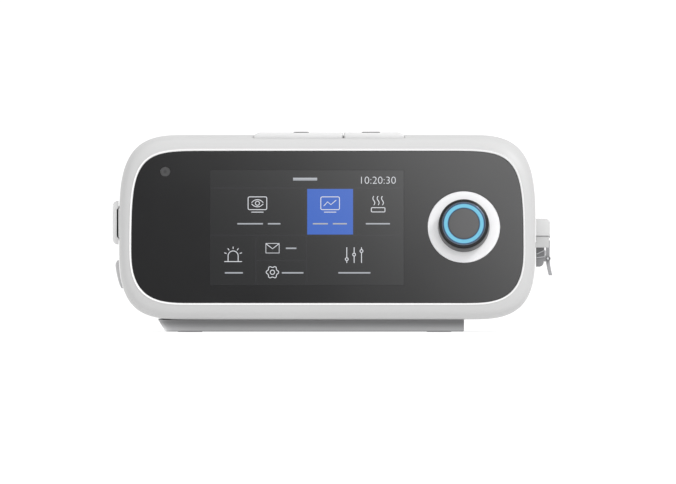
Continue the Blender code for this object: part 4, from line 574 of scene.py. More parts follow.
# A tongue behind the bezel's back edge keeps the two halves in line and closes the parting.
TONGUE_DEPTH = 2.5 * MM
tongue_outer = grown(inner_body, -0.15 * MM)
tongue_inner = grown(inner_body, -1 * MM)
inner_loops = [
    front_loop(tongue_outer, PARTING + GAP),
    front_loop(tongue_outer, PARTING - TONGUE_DEPTH),
    front_loop(tongue_inner, PARTING - TONGUE_DEPTH),
    front_loop(tongue_inner, PARTING + TONGUE_DEPTH),
    front_loop(inner_body, PARTING + 1.4 * TONGUE_DEPTH),
]
for step in range(BACK_STEPS + 1):
    turn = (step / BACK_STEPS) * pi / 2
    inset = BACK_INSET * (1 - cos(turn)) ** 1.25
    y = LEVEL_Y + (REAR_Y - LEVEL_Y) * sin(turn) ** 0.85
    outer_loops.append(upright_loop(grown(body_outline, -inset), y))
    inner_loops.append(upright_loop(grown(body_outline, -inset - WALL), y - WALL * (y / REAR_Y) ** 8))
shell = skin(inner_loops[::-1] + outer_loops)


def at(x, y, z):
    """A place in the housing's own sizes, in millimetres, as a place in the frame."""
    return HOUSING + Vector((x, y, z)) * MM


def slot_cutter(low, high, radius):
    """A box with rounded corners all round, to cut an opening."""
    cutter = box_between(at(*low), at(*high))
    apply_modifier(cutter, "BEVEL", width=radius * MM, segments=5)
    return cutter


DRAWER_LOW = 14
DRAWER_OPENING = ((body_side(DRAWER_LOW) - 12, -36, DRAWER_LOW), (119, 44, 50))
FILTER_OPENING = ((-119, -36, 51), (-104, 4, 70))
CARD_OPENING = ((-119, -34, 27), (-104, -6, 37))
POWER_OPENING = ((-69.3, 68, 26.2), (-54.7, 83, 37.8))
OUTLET = (40, 80, 72)
OUTLET_OPENING = 11.3 * MM
POINT_BACK = (pi / 2, 0, 0)
VENT_COUNT = 6
VENT_PITCH = 6
VENT_LOW = (-70, 74, 72)
VENT_SIZE = (2.4, 9, 16)
cut_with(
    shell,
    box_between(*(at(*corner_place) for corner_place in DRAWER_OPENING)),
    slot_cutter(*FILTER_OPENING, 1.5),
    slot_cutter(*CARD_OPENING, 1.5),
    slot_cutter(*POWER_OPENING, 1.0),
    drum(OUTLET_OPENING, 24 * MM, at(*OUTLET), 96, POINT_BACK),
)
for number in range(VENT_COUNT):
    vent = Vector(VENT_LOW) + Vector((VENT_PITCH * number, 0, 0))
    cut_with(shell, slot_cutter(vent, vent + Vector(VENT_SIZE), 1.15))
white_abs = moulded("moulded_white_abs", "#c0c0c0", "#bcbcbc", 0.42)
settle(shell, "rear_shell", "housing", white_abs, 35)
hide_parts("rear_housing")


# Front bezel: the white ABS frame round the panel, moulded with a satin face.
# A bright chamfered lip stands round the panel's edge, and a brow rolls from it into the sides,
# which meet the rear housing at a hairline parting.
PANEL_HALF = 109.1 * MM
PANEL_LOW = 16.5 * MM
PANEL_HIGH = 100.8 * MM
panel_outline = soft_outline(
    PANEL_HALF,
    PANEL_LOW,
    PANEL_HIGH,
    corner(59.7 * MM, 85.6 * MM, 6.57, 6.57, 53.2 * MM),
    corner(33.9 * MM, 31.4 * MM, 3.36, 2.86, 31.4 * MM),
)
SEAT = 1.8 * MM
LEDGE_BACK = SEAT + 2.2 * MM
LIP_PROUD = 0.4 * MM
BROW = 14 * MM
rim_outline = grown(panel_outline, 1.2 * MM)
ledge_outline = grown(panel_outline, -4 * MM)
seat_outline = grown(panel_outline, GAP * 0.6)


def blend(inner, outer, share):
    return [
        (a * (1 - share) + c * share, b * (1 - share) + d * share) for (a, b), (c, d) in zip(inner, outer)
    ]


bezel_loops = [
    front_loop(ledge_outline, 0, SEAT),
    front_loop(seat_outline, 0, SEAT),
    front_loop(seat_outline, 0, 0.25 * MM),
    front_loop(grown(panel_outline, 0.35 * MM), 0, 0.02 * MM),
    front_loop(grown(panel_outline, 1.0 * MM), 0, -0.36 * MM),
    front_loop(rim_outline, 0, -LIP_PROUD),
]
brow_shares = (0.06, 0.15, 0.3, 0.45, 0.58, 0.7, 0.8, 0.87, 0.93, 0.965, 0.985, 0.996, 1)
brow_depths = (0.003, 0.012, 0.04, 0.075, 0.12, 0.185, 0.27, 0.37, 0.5, 0.625, 0.75, 0.87, 1)
for share, depth in zip(brow_shares, brow_depths):
    bezel_loops.append(front_loop(blend(rim_outline, body_outline, share), BROW * depth))
bezel_loops += [
    front_loop(body_outline, PARTING - EDGE_BREAK),
    front_loop(grown(body_outline, -0.3 * EDGE_BREAK), PARTING - 0.3 * EDGE_BREAK),
    front_loop(grown(body_outline, -EDGE_BREAK), PARTING),
    front_loop(inner_body, PARTING),
    front_loop(inner_body, BROW),
    front_loop(blend(panel_outline, inner_body, 0.8), BROW / 2),
    front_loop(panel_outline, 0, LEDGE_BACK),
    front_loop(ledge_outline, 0, LEDGE_BACK),
]
bezel = skin(bezel_loops, closed=True)
KEY_OPENING = ((-41.5, -59.3, 104), (43.3, -43.7, 112))
cut_with(bezel, slot_cutter(*KEY_OPENING, 1.4))
settle(bezel, "bezel", "housing", white_abs, 35)
polished_white_painted_highlight = moulded("polished_white_abs_painted_highlight", "#ececec", "#e8e8e8", 0.25, grain_mm=0.3, depth_mm=0.001)
bezel.data.materials.append(polished_white_painted_highlight)
# The lip's inner slope is polished and glossier, and its brighter white is a painted highlight.
panel_middle = HOUSING + Vector((0, FRONT_Y, PANEL_Z))
panel_out = Vector((0, -cos(TILT), sin(TILT)))
for face in bezel.data.polygons:
    place = face.center - panel_middle
    if place.dot(panel_out) > 0.1 * MM and place.dot(face.normal) < 0.5 * MM:
        face.material_index = 1
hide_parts("front_bezel")


# Front panel: a sheet of black printed acrylic, laser cut, edge polished, glued on the bezel's ledge.
# The print is matt charcoal behind the clear face, so the panel has a soft deep gloss.
def panel_place(across, rise, out=0):
    """A place on the tilted panel, in millimetres from its middle, and out from its face."""
    return HOUSING + Vector(
        (
            across * MM,
            FRONT_Y + (rise * sin(TILT) - out * cos(TILT)) * MM,
            PANEL_Z + (rise * cos(TILT) + out * sin(TILT)) * MM,
        )
    )


PANEL_TURN = Euler((pi / 2 - TILT, 0, 0))
SCREEN = (-11.3, -0.2)
SCREEN_HALF = (54, 32.4)
SENSOR = (-90.3, 31.3)
KNOB = (76.1, 0.1)
RING_RADIUS = 20.2


def panel_rod(middle, radius, back, out, vertices=128):
    """A cylinder square to the panel, from behind its face to in front of it, in millimetres."""
    pick_none()
    bpy.ops.mesh.primitive_cylinder_add(
        vertices=vertices,
        radius=radius * MM,
        depth=(out - back) * MM,
        location=panel_place(*middle, (out + back) / 2),
        rotation=PANEL_TURN,
    )
    return bpy.context.object


def panel_slab(low, high, back, out):
    """A cube that lies level with the panel between two places of the screen, in millimetres."""
    pick_none()
    middle = [SCREEN[side] + (low[side] + high[side]) / 2 for side in (0, 1)]
    bpy.ops.mesh.primitive_cube_add(
        size=1,
        location=panel_place(*middle, (out + back) / 2),
        rotation=PANEL_TURN,
        scale=((high[0] - low[0]) * MM, (high[1] - low[1]) * MM, (out - back) * MM),
    )
    bpy.ops.object.transform_apply(location=True, rotation=True, scale=True)
    return bpy.context.object


def screen_slab(clearance, back, out):
    """A slab as large as the screen, with a clearance all round."""
    half = [side + clearance for side in SCREEN_HALF]
    return panel_slab([-side for side in half], half, back, out)


panel = skin(
    [
        front_loop(panel_outline, 0, 1.5 * MM),
        front_loop(panel_outline, 0, 0.12 * MM),
        front_loop(grown(panel_outline, -0.12 * MM), 0, 0),
    ]
)
cut_with(
    panel,
    screen_slab(0.05, -3, 1),
    panel_rod(SENSOR, 2.8, -3, 1, 48),
    panel_rod(KNOB, RING_RADIUS + 0.15, -3, 1),
)
acrylic, shader, where = new_material("printed_black_acrylic", IOR=1.49, Roughness=0.1)
print_tone = two_tones(acrylic, where, "#161617", "#1a1a1b", 0.5 * MM)
acrylic.node_tree.links.new(print_tone, shader.inputs["Base Color"])
haze = add_node(acrylic, "ShaderNodeTexNoise", {"Scale": 1 / (30 * MM), "Detail": 3}, {"Vector": where})
haze_gloss = add_node(
    acrylic, "ShaderNodeMapRange", {"To Min": 0.08, "To Max": 0.13}, {"Value": haze.outputs["Fac"]}
)
acrylic.node_tree.links.new(haze_gloss.outputs["Result"], shader.inputs["Roughness"])
settle(panel, "panel_sheet", "housing", acrylic)
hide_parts("front_panel")


# Light sensor window: a small smoked polycarbonate lens, moulded and polished, let into the panel.
# Its face is slightly crowned, and the sensor behind it shows as a darker middle.
lens = panel_rod(SENSOR, 2.7, -1.5, -0.12, 48)
edit(lens, "FACE", lambda face: face.normal.y < -0.9)
bpy.ops.mesh.inset(thickness=0.5 * MM, depth=0.1 * MM)
leave_edit()
smoked, shader, where = new_material("smoked_polycarbonate", IOR=1.58, Roughness=0.15)
smoke = two_tones(smoked, where, "#363637", "#424243", 1.5 * MM)
deep = add_node(smoked, "ShaderNodeVectorMath", {"operation": "DISTANCE"})
smoked.node_tree.links.new(where, deep.inputs[0])
deep.inputs[1].default_value = panel_place(*SENSOR)
dark_middle = add_node(
    smoked,
    "ShaderNodeMapRange",
    {"From Min": 0.3 * MM, "From Max": 1.3 * MM, "To Min": 0.45, "To Max": 1.0},
    {"Value": deep.outputs["Value"]},
)
sensor_tone = add_node(
    smoked,
    "ShaderNodeMixRGB",
    {"blend_type": "MULTIPLY", "Fac": 1.0},
    {"Color1": smoke, "Color2": dark_middle.outputs["Result"]},
)
smoked.node_tree.links.new(sensor_tone.outputs["Color"], shader.inputs["Base Color"])
settle(lens, "sensor_lens", "housing", smoked, 30)
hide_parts("sensor_window")


# Screen: a flat touch glass bonded over the display, flush with the panel, showing a menu of plain signs.
# The picture is drawn as flat fields and thin strokes in the face, with a bar for each word of a caption.
glass = screen_slab(0, -1.5, 0)
apply_modifier(glass, "BEVEL", width=0.1 * MM, segments=2, limit_method="ANGLE")
screen_glass, shader, where = new_material(
    "lit_screen_glass", IOR=1.54, Roughness=0.11, Emission_Strength=0.005
)
shader.inputs["Emission Color"].default_value = to_linear("#c8ccd8")
unlit = two_tones(screen_glass, where, "#1c1c1e", "#202022", 0.6 * MM)
screen_glass.node_tree.links.new(unlit, shader.inputs["Base Color"])
settle(glass, "touch_glass", "housing", screen_glass)
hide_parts("screen_glass")


def lit_pixels(name, colour, strength):
    """A part of the lit picture, with the fine rows of pixels as a slight ripple in its brightness."""
    material, shader, where = new_material(name, IOR=1.54, Roughness=0.11, Emission_Strength=strength)
    rows = add_node(material, "ShaderNodeTexNoise", {"Scale": 1 / (0.4 * MM)}, {"Vector": where})
    mix = add_node(
        material,
        "ShaderNodeMixRGB",
        {"Color1": to_linear(colour), "Color2": [c * 0.9 for c in to_linear(colour)[:3]] + [1]},
        {"Fac": rows.outputs["Fac"]},
    )
    shader.inputs["Base Color"].default_value = to_linear("#101010")
    material.node_tree.links.new(mix.outputs["Color"], shader.inputs["Emission Color"])
    return material


STROKE = 0.42
STROKE_OUT = 0.03
FLATNESS = 0.04


def flatten_on_screen(piece):
    """Lays a drawing, made in millimetres round the screen's middle, flat on the touch glass."""
    turn = PANEL_TURN.to_matrix().to_4x4()
    flat = Matrix.Diagonal((MM, MM, FLATNESS * MM, 1))
    piece.data.transform(Matrix.Translation(panel_place(*SCREEN, STROKE_OUT)) @ turn @ flat)


def stroke(points, width=STROKE, closed=False):
    """One drawn line of the picture: a curve of that width, turned into a mesh."""
    curve = bpy.data.curves.new("stroke", "CURVE")
    curve.dimensions = "3D"
    curve.bevel_depth = width / 2
    curve.bevel_resolution = 1
    curve.use_fill_caps = True
    spline = curve.splines.new("POLY")
    spline.points.add(len(points) - 1)
    for point, (across, rise) in zip(spline.points, points):
        point.co = (across, rise, 0, 1)
    spline.use_cyclic_u = closed
    drawn = bpy.data.objects.new("stroke", curve)
    bpy.context.collection.objects.link(drawn)
    pick_none()
    drawn.select_set(True)
    bpy.context.view_layer.objects.active = drawn
    bpy.ops.object.convert(target="MESH")
    return bpy.context.object


def joined(pieces):
    pick_none()
    for piece in pieces:
        piece.select_set(True)
    bpy.context.view_layer.objects.active = pieces[0]
    bpy.ops.object.join()
    return bpy.context.object


def arc(across, rise, radius, start, end, steps=24):
    """Points on part of a circle, from one angle in degrees to another."""
    angles = [radians(start + (end - start) * step / steps) for step in range(steps + 1)]
    return [(across + radius * cos(a), rise + radius * sin(a)) for a in angles]


def frame_line(across, rise, half_width, half_height, radius):
    """Points round a rectangle with rounded corners."""
    line = []
    for x, y, start in (
        (half_width - radius, half_height - radius, 0),
        (radius - half_width, half_height - radius, 90),
        (radius - half_width, radius - half_height, 180),
        (half_width - radius, radius - half_height, 270),
    ):
        line += arc(across + x, rise + y, radius, start, start + 90, 5)
    return line


# Places in the photograph's frame, in its pixels: the screen's middle, the signs, the clock and the words.
SCREEN_PIXEL = (306.9, 226.95)
PIXEL_WIDTH = 0.5573
EYE_PIXEL = (257.3, 203.4)
WAVE_PIXEL = (330, 203.4)
WARMTH_PIXEL = (378, 203.4)
BEACON_PIXEL = (233, 253.5)
LETTER_PIXEL = (272.4, 247.6)
GEAR_PIXEL = (272.3, 271.6)
SLIDERS_PIXEL = (354, 254.5)
CLOCK_PIXELS = ((361, 176.2), (395.6, 183.2))
TITLE_WORD = (291.5, 318.5, 178.6)
CHOSEN_WORDS = ((312, 328.5, 223.2), (332, 347.5, 223.2))
WORDS = (
    (236.5, 263.5, 223.2),
    (267, 281, 223.2),
    (365, 390.5, 223.2),
    (224, 243.5, 272.2),
    (285, 297, 247.7),
    (281, 304, 272.2),
    (337.5, 371, 272.2),
)


def at_pixel(x, y):
    """A place in the photograph's frame, as millimetres from the screen's middle."""
    return (x - SCREEN_PIXEL[0]) * PIXEL_WIDTH, (SCREEN_PIXEL[1] - y) * PIXEL_WIDTH / cos(TILT)


def word_bar(left, right, y, height=0.8):
    """A plain rounded bar where one word of a caption stands."""
    (start, rise), (end, _) = at_pixel(left, y), at_pixel(right, y)
    return stroke([(start + height / 2, rise), (end - height / 2, rise)], height)


def monitor(u, v):
    """The outline of a small monitor with its foot, round a place on the screen."""
    return [
        stroke(frame_line(u, v + 0.4, 5.2, 3.6, 0.8), closed=True),
        stroke([(u - 3.4, v - 4.6), (u + 3.4, v - 4.6)]),
    ]


u, v = at_pixel(*EYE_PIXEL)
eye_view = monitor(u, v) + [
    stroke(arc(u, v - 1.5, 3.9, 35, 145)),
    stroke(arc(u, v + 2.3, 3.9, 215, 325)),
    stroke(arc(u, v + 0.4, 1.15, 0, 345), closed=True),
]
u, v = at_pixel(*WAVE_PIXEL)
wave_view = monitor(u, v) + [
    stroke([(u - 3.6, v - 1.2), (u - 1.4, v + 1.2), (u + 0.4, v - 0.4), (u + 3.4, v + 2.2)]),
]
u, v = at_pixel(*WARMTH_PIXEL)
warm_view = [stroke(frame_line(u, v - 3.3, 3.8, 1.2, 0.5), closed=True)]
for shift in (-2.4, 0, 2.4):
    wave = [(u + shift + 0.55 * sin(step * pi / 6), v - 0.6 + step * 0.42) for step in range(13)]
    warm_view.append(stroke(wave))
u, v = at_pixel(*BEACON_PIXEL)
beacon_view = [
    stroke([(u - 4.9, v - 4.2), (u + 4.9, v - 4.2)]),
    stroke([(u - 2.8, v - 4.2)] + arc(u, v - 1.0, 2.8, 180, 0) + [(u + 2.8, v - 4.2)]),
]
for angle in (20, 55, 90, 125, 160):
    a = radians(angle)
    beacon_view.append(
        stroke([(u + 3.9 * cos(a), v - 1 + 3.9 * sin(a)), (u + 5.2 * cos(a), v - 1 + 5.2 * sin(a))])
    )
u, v = at_pixel(*LETTER_PIXEL)
letter_view = [
    stroke([(u - 3.7, v - 2.7), (u + 3.7, v - 2.7), (u + 3.7, v + 2.7), (u - 3.7, v + 2.7)], closed=True),
    stroke([(u - 3.5, v + 2.4), (u, v - 0.3), (u + 3.5, v + 2.4)]),
]
u, v = at_pixel(*GEAR_PIXEL)
teeth = []
for step in range(48):
    radius = 3.1 + 0.35 * max(-1, min(1, 1.8 * cos(step * pi / 4)))
    teeth.append((u + radius * cos(step * pi / 24), v + radius * sin(step * pi / 24)))
gear_view = [stroke(teeth, closed=True), stroke(arc(u, v, 1.2, 0, 345), closed=True)]
u, v = at_pixel(*SLIDERS_PIXEL)
slider_view = []
for shift, knob_rise in ((-4.1, -2.3), (0, 0.3), (4.1, 2.3)):
    slider_view += [
        stroke([(u + shift, v - 4.4), (u + shift, v + knob_rise - 0.8)]),
        stroke([(u + shift, v + knob_rise + 0.8), (u + shift, v + 4.4)]),
        stroke(arc(u + shift, v + knob_rise, 0.8, 0, 345), closed=True),
    ]
captions = [word_bar(*word) for word in WORDS] + [word_bar(*TITLE_WORD, 1.6)]
picture_white = lit_pixels("lit_white_pixels", "#e4e6ec", 0.95)
picture_grey = lit_pixels("lit_grey_caption_pixels", "#c4c8d0", 0.7)
drawings = {
    "picture_eye": eye_view,
    "picture_warmth": warm_view,
    "picture_beacon": beacon_view,
    "picture_letter": letter_view,
    "picture_gear": gear_view,
    "picture_sliders": slider_view,
    "picture_wave": wave_view,
    "picture_captions": captions,
    "picture_wave_caption": [word_bar(*word) for word in CHOSEN_WORDS],
}
for name, strokes in drawings.items():
    drawing = joined(strokes)
    flatten_on_screen(drawing)
    pixels = picture_grey if "caption" in name else picture_white
    settle(drawing, name, "housing", pixels, 40)

bpy.ops.object.text_add()
clock = bpy.context.object
clock.data.body = "10:20:30"
clock.data.size = 5
clock.data.offset = -0.085
clock.data.align_x = "CENTER"
clock.data.align_y = "CENTER"
clock.data.extrude = 0.5
bpy.ops.object.convert(target="MESH")
clock = bpy.context.object
(left, top), (right, low) = (at_pixel(*pixel) for pixel in CLOCK_PIXELS)
across = (right - left) / clock.dimensions.x
upward = (top - low) / clock.dimensions.y
corner_x = min(vertex.co.x for vertex in clock.data.vertices)
corner_y = min(vertex.co.y for vertex in clock.data.vertices)
clock.data.transform(Matrix.Translation((-corner_x, -corner_y, 0)))
clock.data.transform(Matrix.Translation((left, low, 0)) @ Matrix.Diagonal((across, upward, 1, 1)))
flatten_on_screen(clock)
settle(clock, "picture_clock", "housing", picture_white)


def tile(name, corner_a, corner_b, material, out):
    """A flat field of the picture between two places of the photograph's frame."""
    (left, top), (right, low) = at_pixel(*corner_a), at_pixel(*corner_b)
    field = panel_slab((left, low), (right, top), out - 0.01, out)
    settle(field, name, "housing", material)


# The fields lie under the chosen one, and all of them under the strokes.
CHOSEN_FIELD = ((307.1, 188.4), (352.9, 233.9))
CHOSEN_OUT = 0.025
FIELD_OUT = 0.012
FIELDS = (
    ("picture_header", (210.6, 169.9), (403.2, 186.6)),
    ("picture_field_1", (210.6, 188.4), (305.6, 233.9)),
    ("picture_field_2", (354.4, 188.4), (403.2, 233.9)),
    ("picture_field_3", (210.6, 235.6), (255.0, 284.0)),
    ("picture_field_4", (256.6, 235.6), (305.6, 259.0)),
    ("picture_field_5", (256.6, 260.6), (305.6, 284.0)),
    ("picture_field_6", (307.1, 235.6), (403.2, 284.0)),
)
tile("picture_chosen", *CHOSEN_FIELD, lit_pixels("lit_blue_pixels", "#356fdc", 0.75), CHOSEN_OUT)
field_grey = lit_pixels("lit_grey_pixels", "#5a5c60", 0.085)
for name, corner_a, corner_b in FIELDS:
    tile(name, corner_a, corner_b, field_grey, FIELD_OUT)


# Knob surround: a flat ring of white polycarbonate, moulded with a satin face and a tiny broken edge.
# It is let into the panel round the knob and catches the knob's shadow.
def spun(profile, steps=128):
    """A round upright piece: its profile of radius and height, in millimetres, spun round."""
    pick_none()
    bpy.ops.mesh.primitive_plane_add(size=1)
    piece = bpy.context.object
    edit(piece, "VERT", lambda vertex: vertex.index > 0)
    bpy.ops.mesh.delete(type="VERT")
    leave_edit()
    piece.data.vertices[0].co = (profile[0][0], 0, profile[0][1])
    for radius, height in profile[1:]:
        edit(piece, "VERT", lambda vertex: vertex.index == len(piece.data.vertices) - 1)
        bpy.ops.mesh.extrude_region_move()
        leave_edit()
        piece.data.vertices[-1].co = (radius, 0, height)
    edit(piece, "VERT", lambda vertex: True)
    bpy.ops.mesh.spin(steps=steps, angle=2 * pi, center=(0, 0, 0), axis=(0, 0, 1), use_auto_merge=False)
    bpy.ops.mesh.select_all(action="SELECT")
    bpy.ops.mesh.remove_doubles(threshold=0.002)
    bpy.ops.mesh.normals_make_consistent(inside=False)
    leave_edit()
    return piece


def knob_piece(profile, steps=160):
    """A spun piece about the knob's axis, with its heights measured out from the panel's face."""
    piece = spun(profile, steps)
    lay = Matrix.Translation(panel_place(*KNOB)) @ PANEL_TURN.to_matrix().to_4x4() @ Matrix.Scale(MM, 4)
    piece.data.transform(lay)
    return piece


RING_BORE = 5.5
RING_BACK = -1.5
ring_profile = [
    (RING_BORE, RING_BACK),
    (RING_BORE, 0),
    (RING_RADIUS - 0.45, 0),
    (RING_RADIUS - 0.15, -0.08),
    (RING_RADIUS, -0.35),
    (RING_RADIUS, RING_BACK),
    (RING_BORE, RING_BACK),
]
ring = knob_piece(ring_profile, 128)
ring_white, shader, where = new_material(
    "moulded_white_polycarbonate", IOR=1.58, Roughness=0.4, Subsurface_Weight=0.04
)
shader.inputs["Subsurface Radius"].default_value = (1.5 * MM, 1.5 * MM, 1.5 * MM)
cloud = two_tones(ring_white, where, "#e7e7e8", "#e3e3e5", 6 * MM)
ring_white.node_tree.links.new(cloud, shader.inputs["Base Color"])
settle(ring, "surround_ring", "housing", ring_white, 30)
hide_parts("knob_surround")


# Knob shell: black ABS, moulded with a rolled front edge and a skirt that flares towards the panel.
# It turns without end and presses in, and its fine grain keeps the reflections soft.
knob_profile = [
    (0, 11.6),
    (12.5, 11.6),
    (12.5, 12.84),
    (12.7, 12.94),
    (13.2, 12.88),
    (13.6, 12.62),
    (13.85, 12.1),
    (13.95, 11.4),
    (14.15, 7.0),
    (14.3, 3.4),
    (14.4, 2.3),
    (14.38, 1.75),
    (14.1, 1.45),
    (13.6, 1.4),
    (12.4, 1.4),
    (11.9, 10.0),
    (6.2, 10.0),
    (6.2, 1.4),
    (3.3, 1.4),
    (3.3, 10.3),
    (0, 10.3),
]
knob = knob_piece(knob_profile)
knob_abs = moulded("moulded_black_abs", "#171718", "#121213", 0.3, grain_mm=0.3, depth_mm=0.004, ior=1.4)
settle(knob, "knob_shell", "knob", knob_abs, 28)
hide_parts("knob_body")


# Knob trim: a thin turned ring of blue-grey anodised aluminium, pressed into the knob's front.
# Trim, halo and cap all start from the same depth, and fine tool lines run over the trim.
INLAY_BACK = 11.9
trim_profile = [(11.7, INLAY_BACK), (11.7, 12.75), (11.95, 12.92), (12.2, 12.84)]
trim_profile += [(12.2, INLAY_BACK), (11.7, INLAY_BACK)]
trim = knob_piece(trim_profile)
trim_metal = tooled_metal("anodised_trim", "#707b8a", "#626b7a", 0.3, 1.5, (1, 1, 1))
settle(trim, "knob_trim", "knob", trim_metal, 30)
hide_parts("knob_trim_ring")


# Knob halo: a ring of clear blue polycarbonate, moulded, lit from behind by the machine.
# The light is even over its width and fades to a dark blue at both edges.
HALO_INNER = 8.6
HALO_OUTER = 11.6
HALO_FACE = 12.66
halo_profile = [
    (HALO_INNER, INLAY_BACK),
    (HALO_INNER, 12.5),
    (HALO_INNER + 0.2, HALO_FACE),
    (HALO_OUTER - 0.2, HALO_FACE),
    (HALO_OUTER, 12.5),
    (HALO_OUTER, INLAY_BACK),
    (HALO_INNER, INLAY_BACK),
]
halo = knob_piece(halo_profile)
halo_blue, shader, where = new_material(
    "lit_blue_polycarbonate", IOR=1.58, Roughness=0.3, Emission_Strength=0.2
)
shader.inputs["Emission Color"].default_value = to_linear("#48bdec")
halo_base = two_tones(halo_blue, where, "#4f98ae", "#579eb4", 8 * MM)
out_from = add_node(halo_blue, "ShaderNodeVectorMath", {"operation": "DISTANCE"})
halo_blue.node_tree.links.new(where, out_from.inputs[0])
out_from.inputs[1].default_value = panel_place(*KNOB, HALO_FACE)
across = add_node(
    halo_blue,
    "ShaderNodeMapRange",
    {"From Min": HALO_INNER * MM, "From Max": HALO_OUTER * MM},
    {"Value": out_from.outputs["Value"]},
)
bands = add_node(halo_blue, "ShaderNodeValToRGB", (), {"Fac": across.outputs["Result"]})
HALO_BANDS = ((0.0, 0.12), (0.12, 0.3), (0.21, 1.0), (0.76, 1.0), (0.84, 0.3), (1.0, 0.1))
while len(bands.color_ramp.elements) < len(HALO_BANDS):
    bands.color_ramp.elements.new(0.5)
for element, (position, shade) in zip(bands.color_ramp.elements, HALO_BANDS):
    element.position = position
    element.color = (shade * 0.8, shade * 0.9, min(1, shade * 1.6), 1) if shade < 1 else (1, 1, 1, 1)
halo_tone = add_node(
    halo_blue,
    "ShaderNodeMixRGB",
    {"blend_type": "MULTIPLY", "Fac": 1.0},
    {"Color1": halo_base, "Color2": bands.outputs["Color"]},
)
halo_blue.node_tree.links.new(halo_tone.outputs["Color"], shader.inputs["Base Color"])
halo_light = add_node(
    halo_blue, "ShaderNodeMapRange", {"To Min": 0.02, "To Max": 0.175}, {"Value": bands.outputs["Color"]}
)
halo_blue.node_tree.links.new(halo_light.outputs["Result"], shader.inputs["Emission Strength"])
settle(halo, "knob_glow", "knob", halo_blue, 30)
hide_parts("knob_halo")


# Knob cap: a slightly domed disc of grey ABS, moulded and snapped into the halo.
# The fine grain gives it a soft, even sheen.
CAP_RADIUS = 8.55
face_profile = [(0, 12.95), (4, 12.93), (7.5, 12.84), (8.3, 12.74), (CAP_RADIUS, 12.55)]
face_profile += [(CAP_RADIUS, INLAY_BACK), (0, INLAY_BACK)]
face = knob_piece(face_profile, 128)
face_grey = moulded("moulded_satin_grey_abs", "#4e4e4f", "#4a4a4b", 0.4, grain_mm=0.3, depth_mm=0.004)
settle(face, "knob_cap", "knob", face_grey, 30)
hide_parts("knob_face")


# Keys: two moulded white ABS caps side by side on top, with sloped outer ends and a hairline between them.
# Each has a small raised mark on its top, printed dark grey: a ring on the left, three bars on the right.
KEY_FRONT = -59
KEY_BACK = -44
KEY_MIDDLE = (KEY_FRONT + KEY_BACK) / 2
KEY_CORNER = 1.4
# Each level of a cap: its height, and how far its sloped end and its long sides are drawn in there.
KEY_LEVELS = (
    (104.9, -1.2, 4.2),
    (105.88, -1.2, 4.2),
    (105.93, 0, 0),
    (108.9, 0, 0),
    (109.5, 0.25, 0.04),
    (110.2, 1.3, 0.2),
    (110.65, 2.1, 0.42),
    (110.95, 2.8, 0.85),
    (111.1, 3.7, 1.6),
)
STEM_RADIUS = 1.8 * MM
STEM_LOW = 103.8
STEM_HIGH = 105.1
key_white = moulded("moulded_key_abs", "#d0d0d0", "#cccccc", 0.38, grain_mm=0.3, depth_mm=0.003)


def key_loop(left, right, z, sides_in):
    """A rectangle with rounded corners at a height."""
    near, far = KEY_FRONT + sides_in + KEY_CORNER, KEY_BACK - sides_in - KEY_CORNER
    loop = []
    for x, y, start in (
        (right - KEY_CORNER, far, 0),
        (left + KEY_CORNER, far, 90),
        (left + KEY_CORNER, near, 180),
        (right - KEY_CORNER, near, 270),
    ):
        loop += [at(a, b, z) for a, b in arc(x, y, KEY_CORNER, start, start + 90, 6)]
    return loop


def key_cap(name, node, left, right, slope_left, slope_right, stem_x):
    """A key with a stem under it, and with a slope of one at its outer end and none at the other."""
    loops = []
    for z, ends_in, sides_in in KEY_LEVELS:
        loops.append(key_loop(left + ends_in * slope_left, right - ends_in * slope_right, z, sides_in))
    cap = skin(loops)
    stem_middle = at(stem_x, KEY_MIDDLE, (STEM_LOW + STEM_HIGH) / 2)
    join_to(cap, drum(STEM_RADIUS, (STEM_HIGH - STEM_LOW) * MM, stem_middle))
    settle(cap, name, node, key_white, 35)
    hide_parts(node)


key_cap("left_cap", "left_key", -41.2, 8.6, 1, 0, -16.3)
key_cap("right_cap", "right_key", 9.2, 43, 0, 1, 26.1)

MARK_LOW = 110.7
MARK_HIGH = 111.5
MARK_OUTER = 4.2 * MM
MARK_INNER = 3.3 * MM
RING_MARK = at(-14.55, KEY_MIDDLE, (MARK_LOW + MARK_HIGH) / 2)
BAR_LEFT = 19.35
BAR_LENGTH = 10
BAR_HALF = 0.45
BAR_PITCH = 2.4
mark_ink = moulded("printed_grey_ink", "#2e2e30", "#28282a", 0.5, grain_mm=0.2, depth_mm=0.002)
ring_mark = drum(MARK_OUTER, (MARK_HIGH - MARK_LOW) * MM, RING_MARK, 72)
cut_with(ring_mark, drum(MARK_INNER, (MARK_HIGH - MARK_LOW + 1) * MM, RING_MARK, 72))
bars = []
for row in (-1, 0, 1):
    bar_y = KEY_MIDDLE + row * BAR_PITCH
    bar_end = at(BAR_LEFT + BAR_LENGTH, bar_y + BAR_HALF, MARK_HIGH)
    bars.append(box_between(at(BAR_LEFT, bar_y - BAR_HALF, MARK_LOW), bar_end))
for mark, name, body in ((ring_mark, "left_mark", "left_key"), (joined(bars), "right_mark", "right_key")):
    round_edges(mark, 0.12, 2)
    settle(mark, name, body, mark_ink, 40)


# Filter door: a white ABS cover on the left side, moulded with rounded corners, that snaps on by two ribs.
# The finger slot in its front end shows from the front as a dark curved line.
def side_plate(outline, near, far):
    """A shape drawn across the width and height, in millimetres, given depth from one place to another."""
    return skin([[at(x, near, z) for x, z in outline], [at(x, far, z) for x, z in outline]])


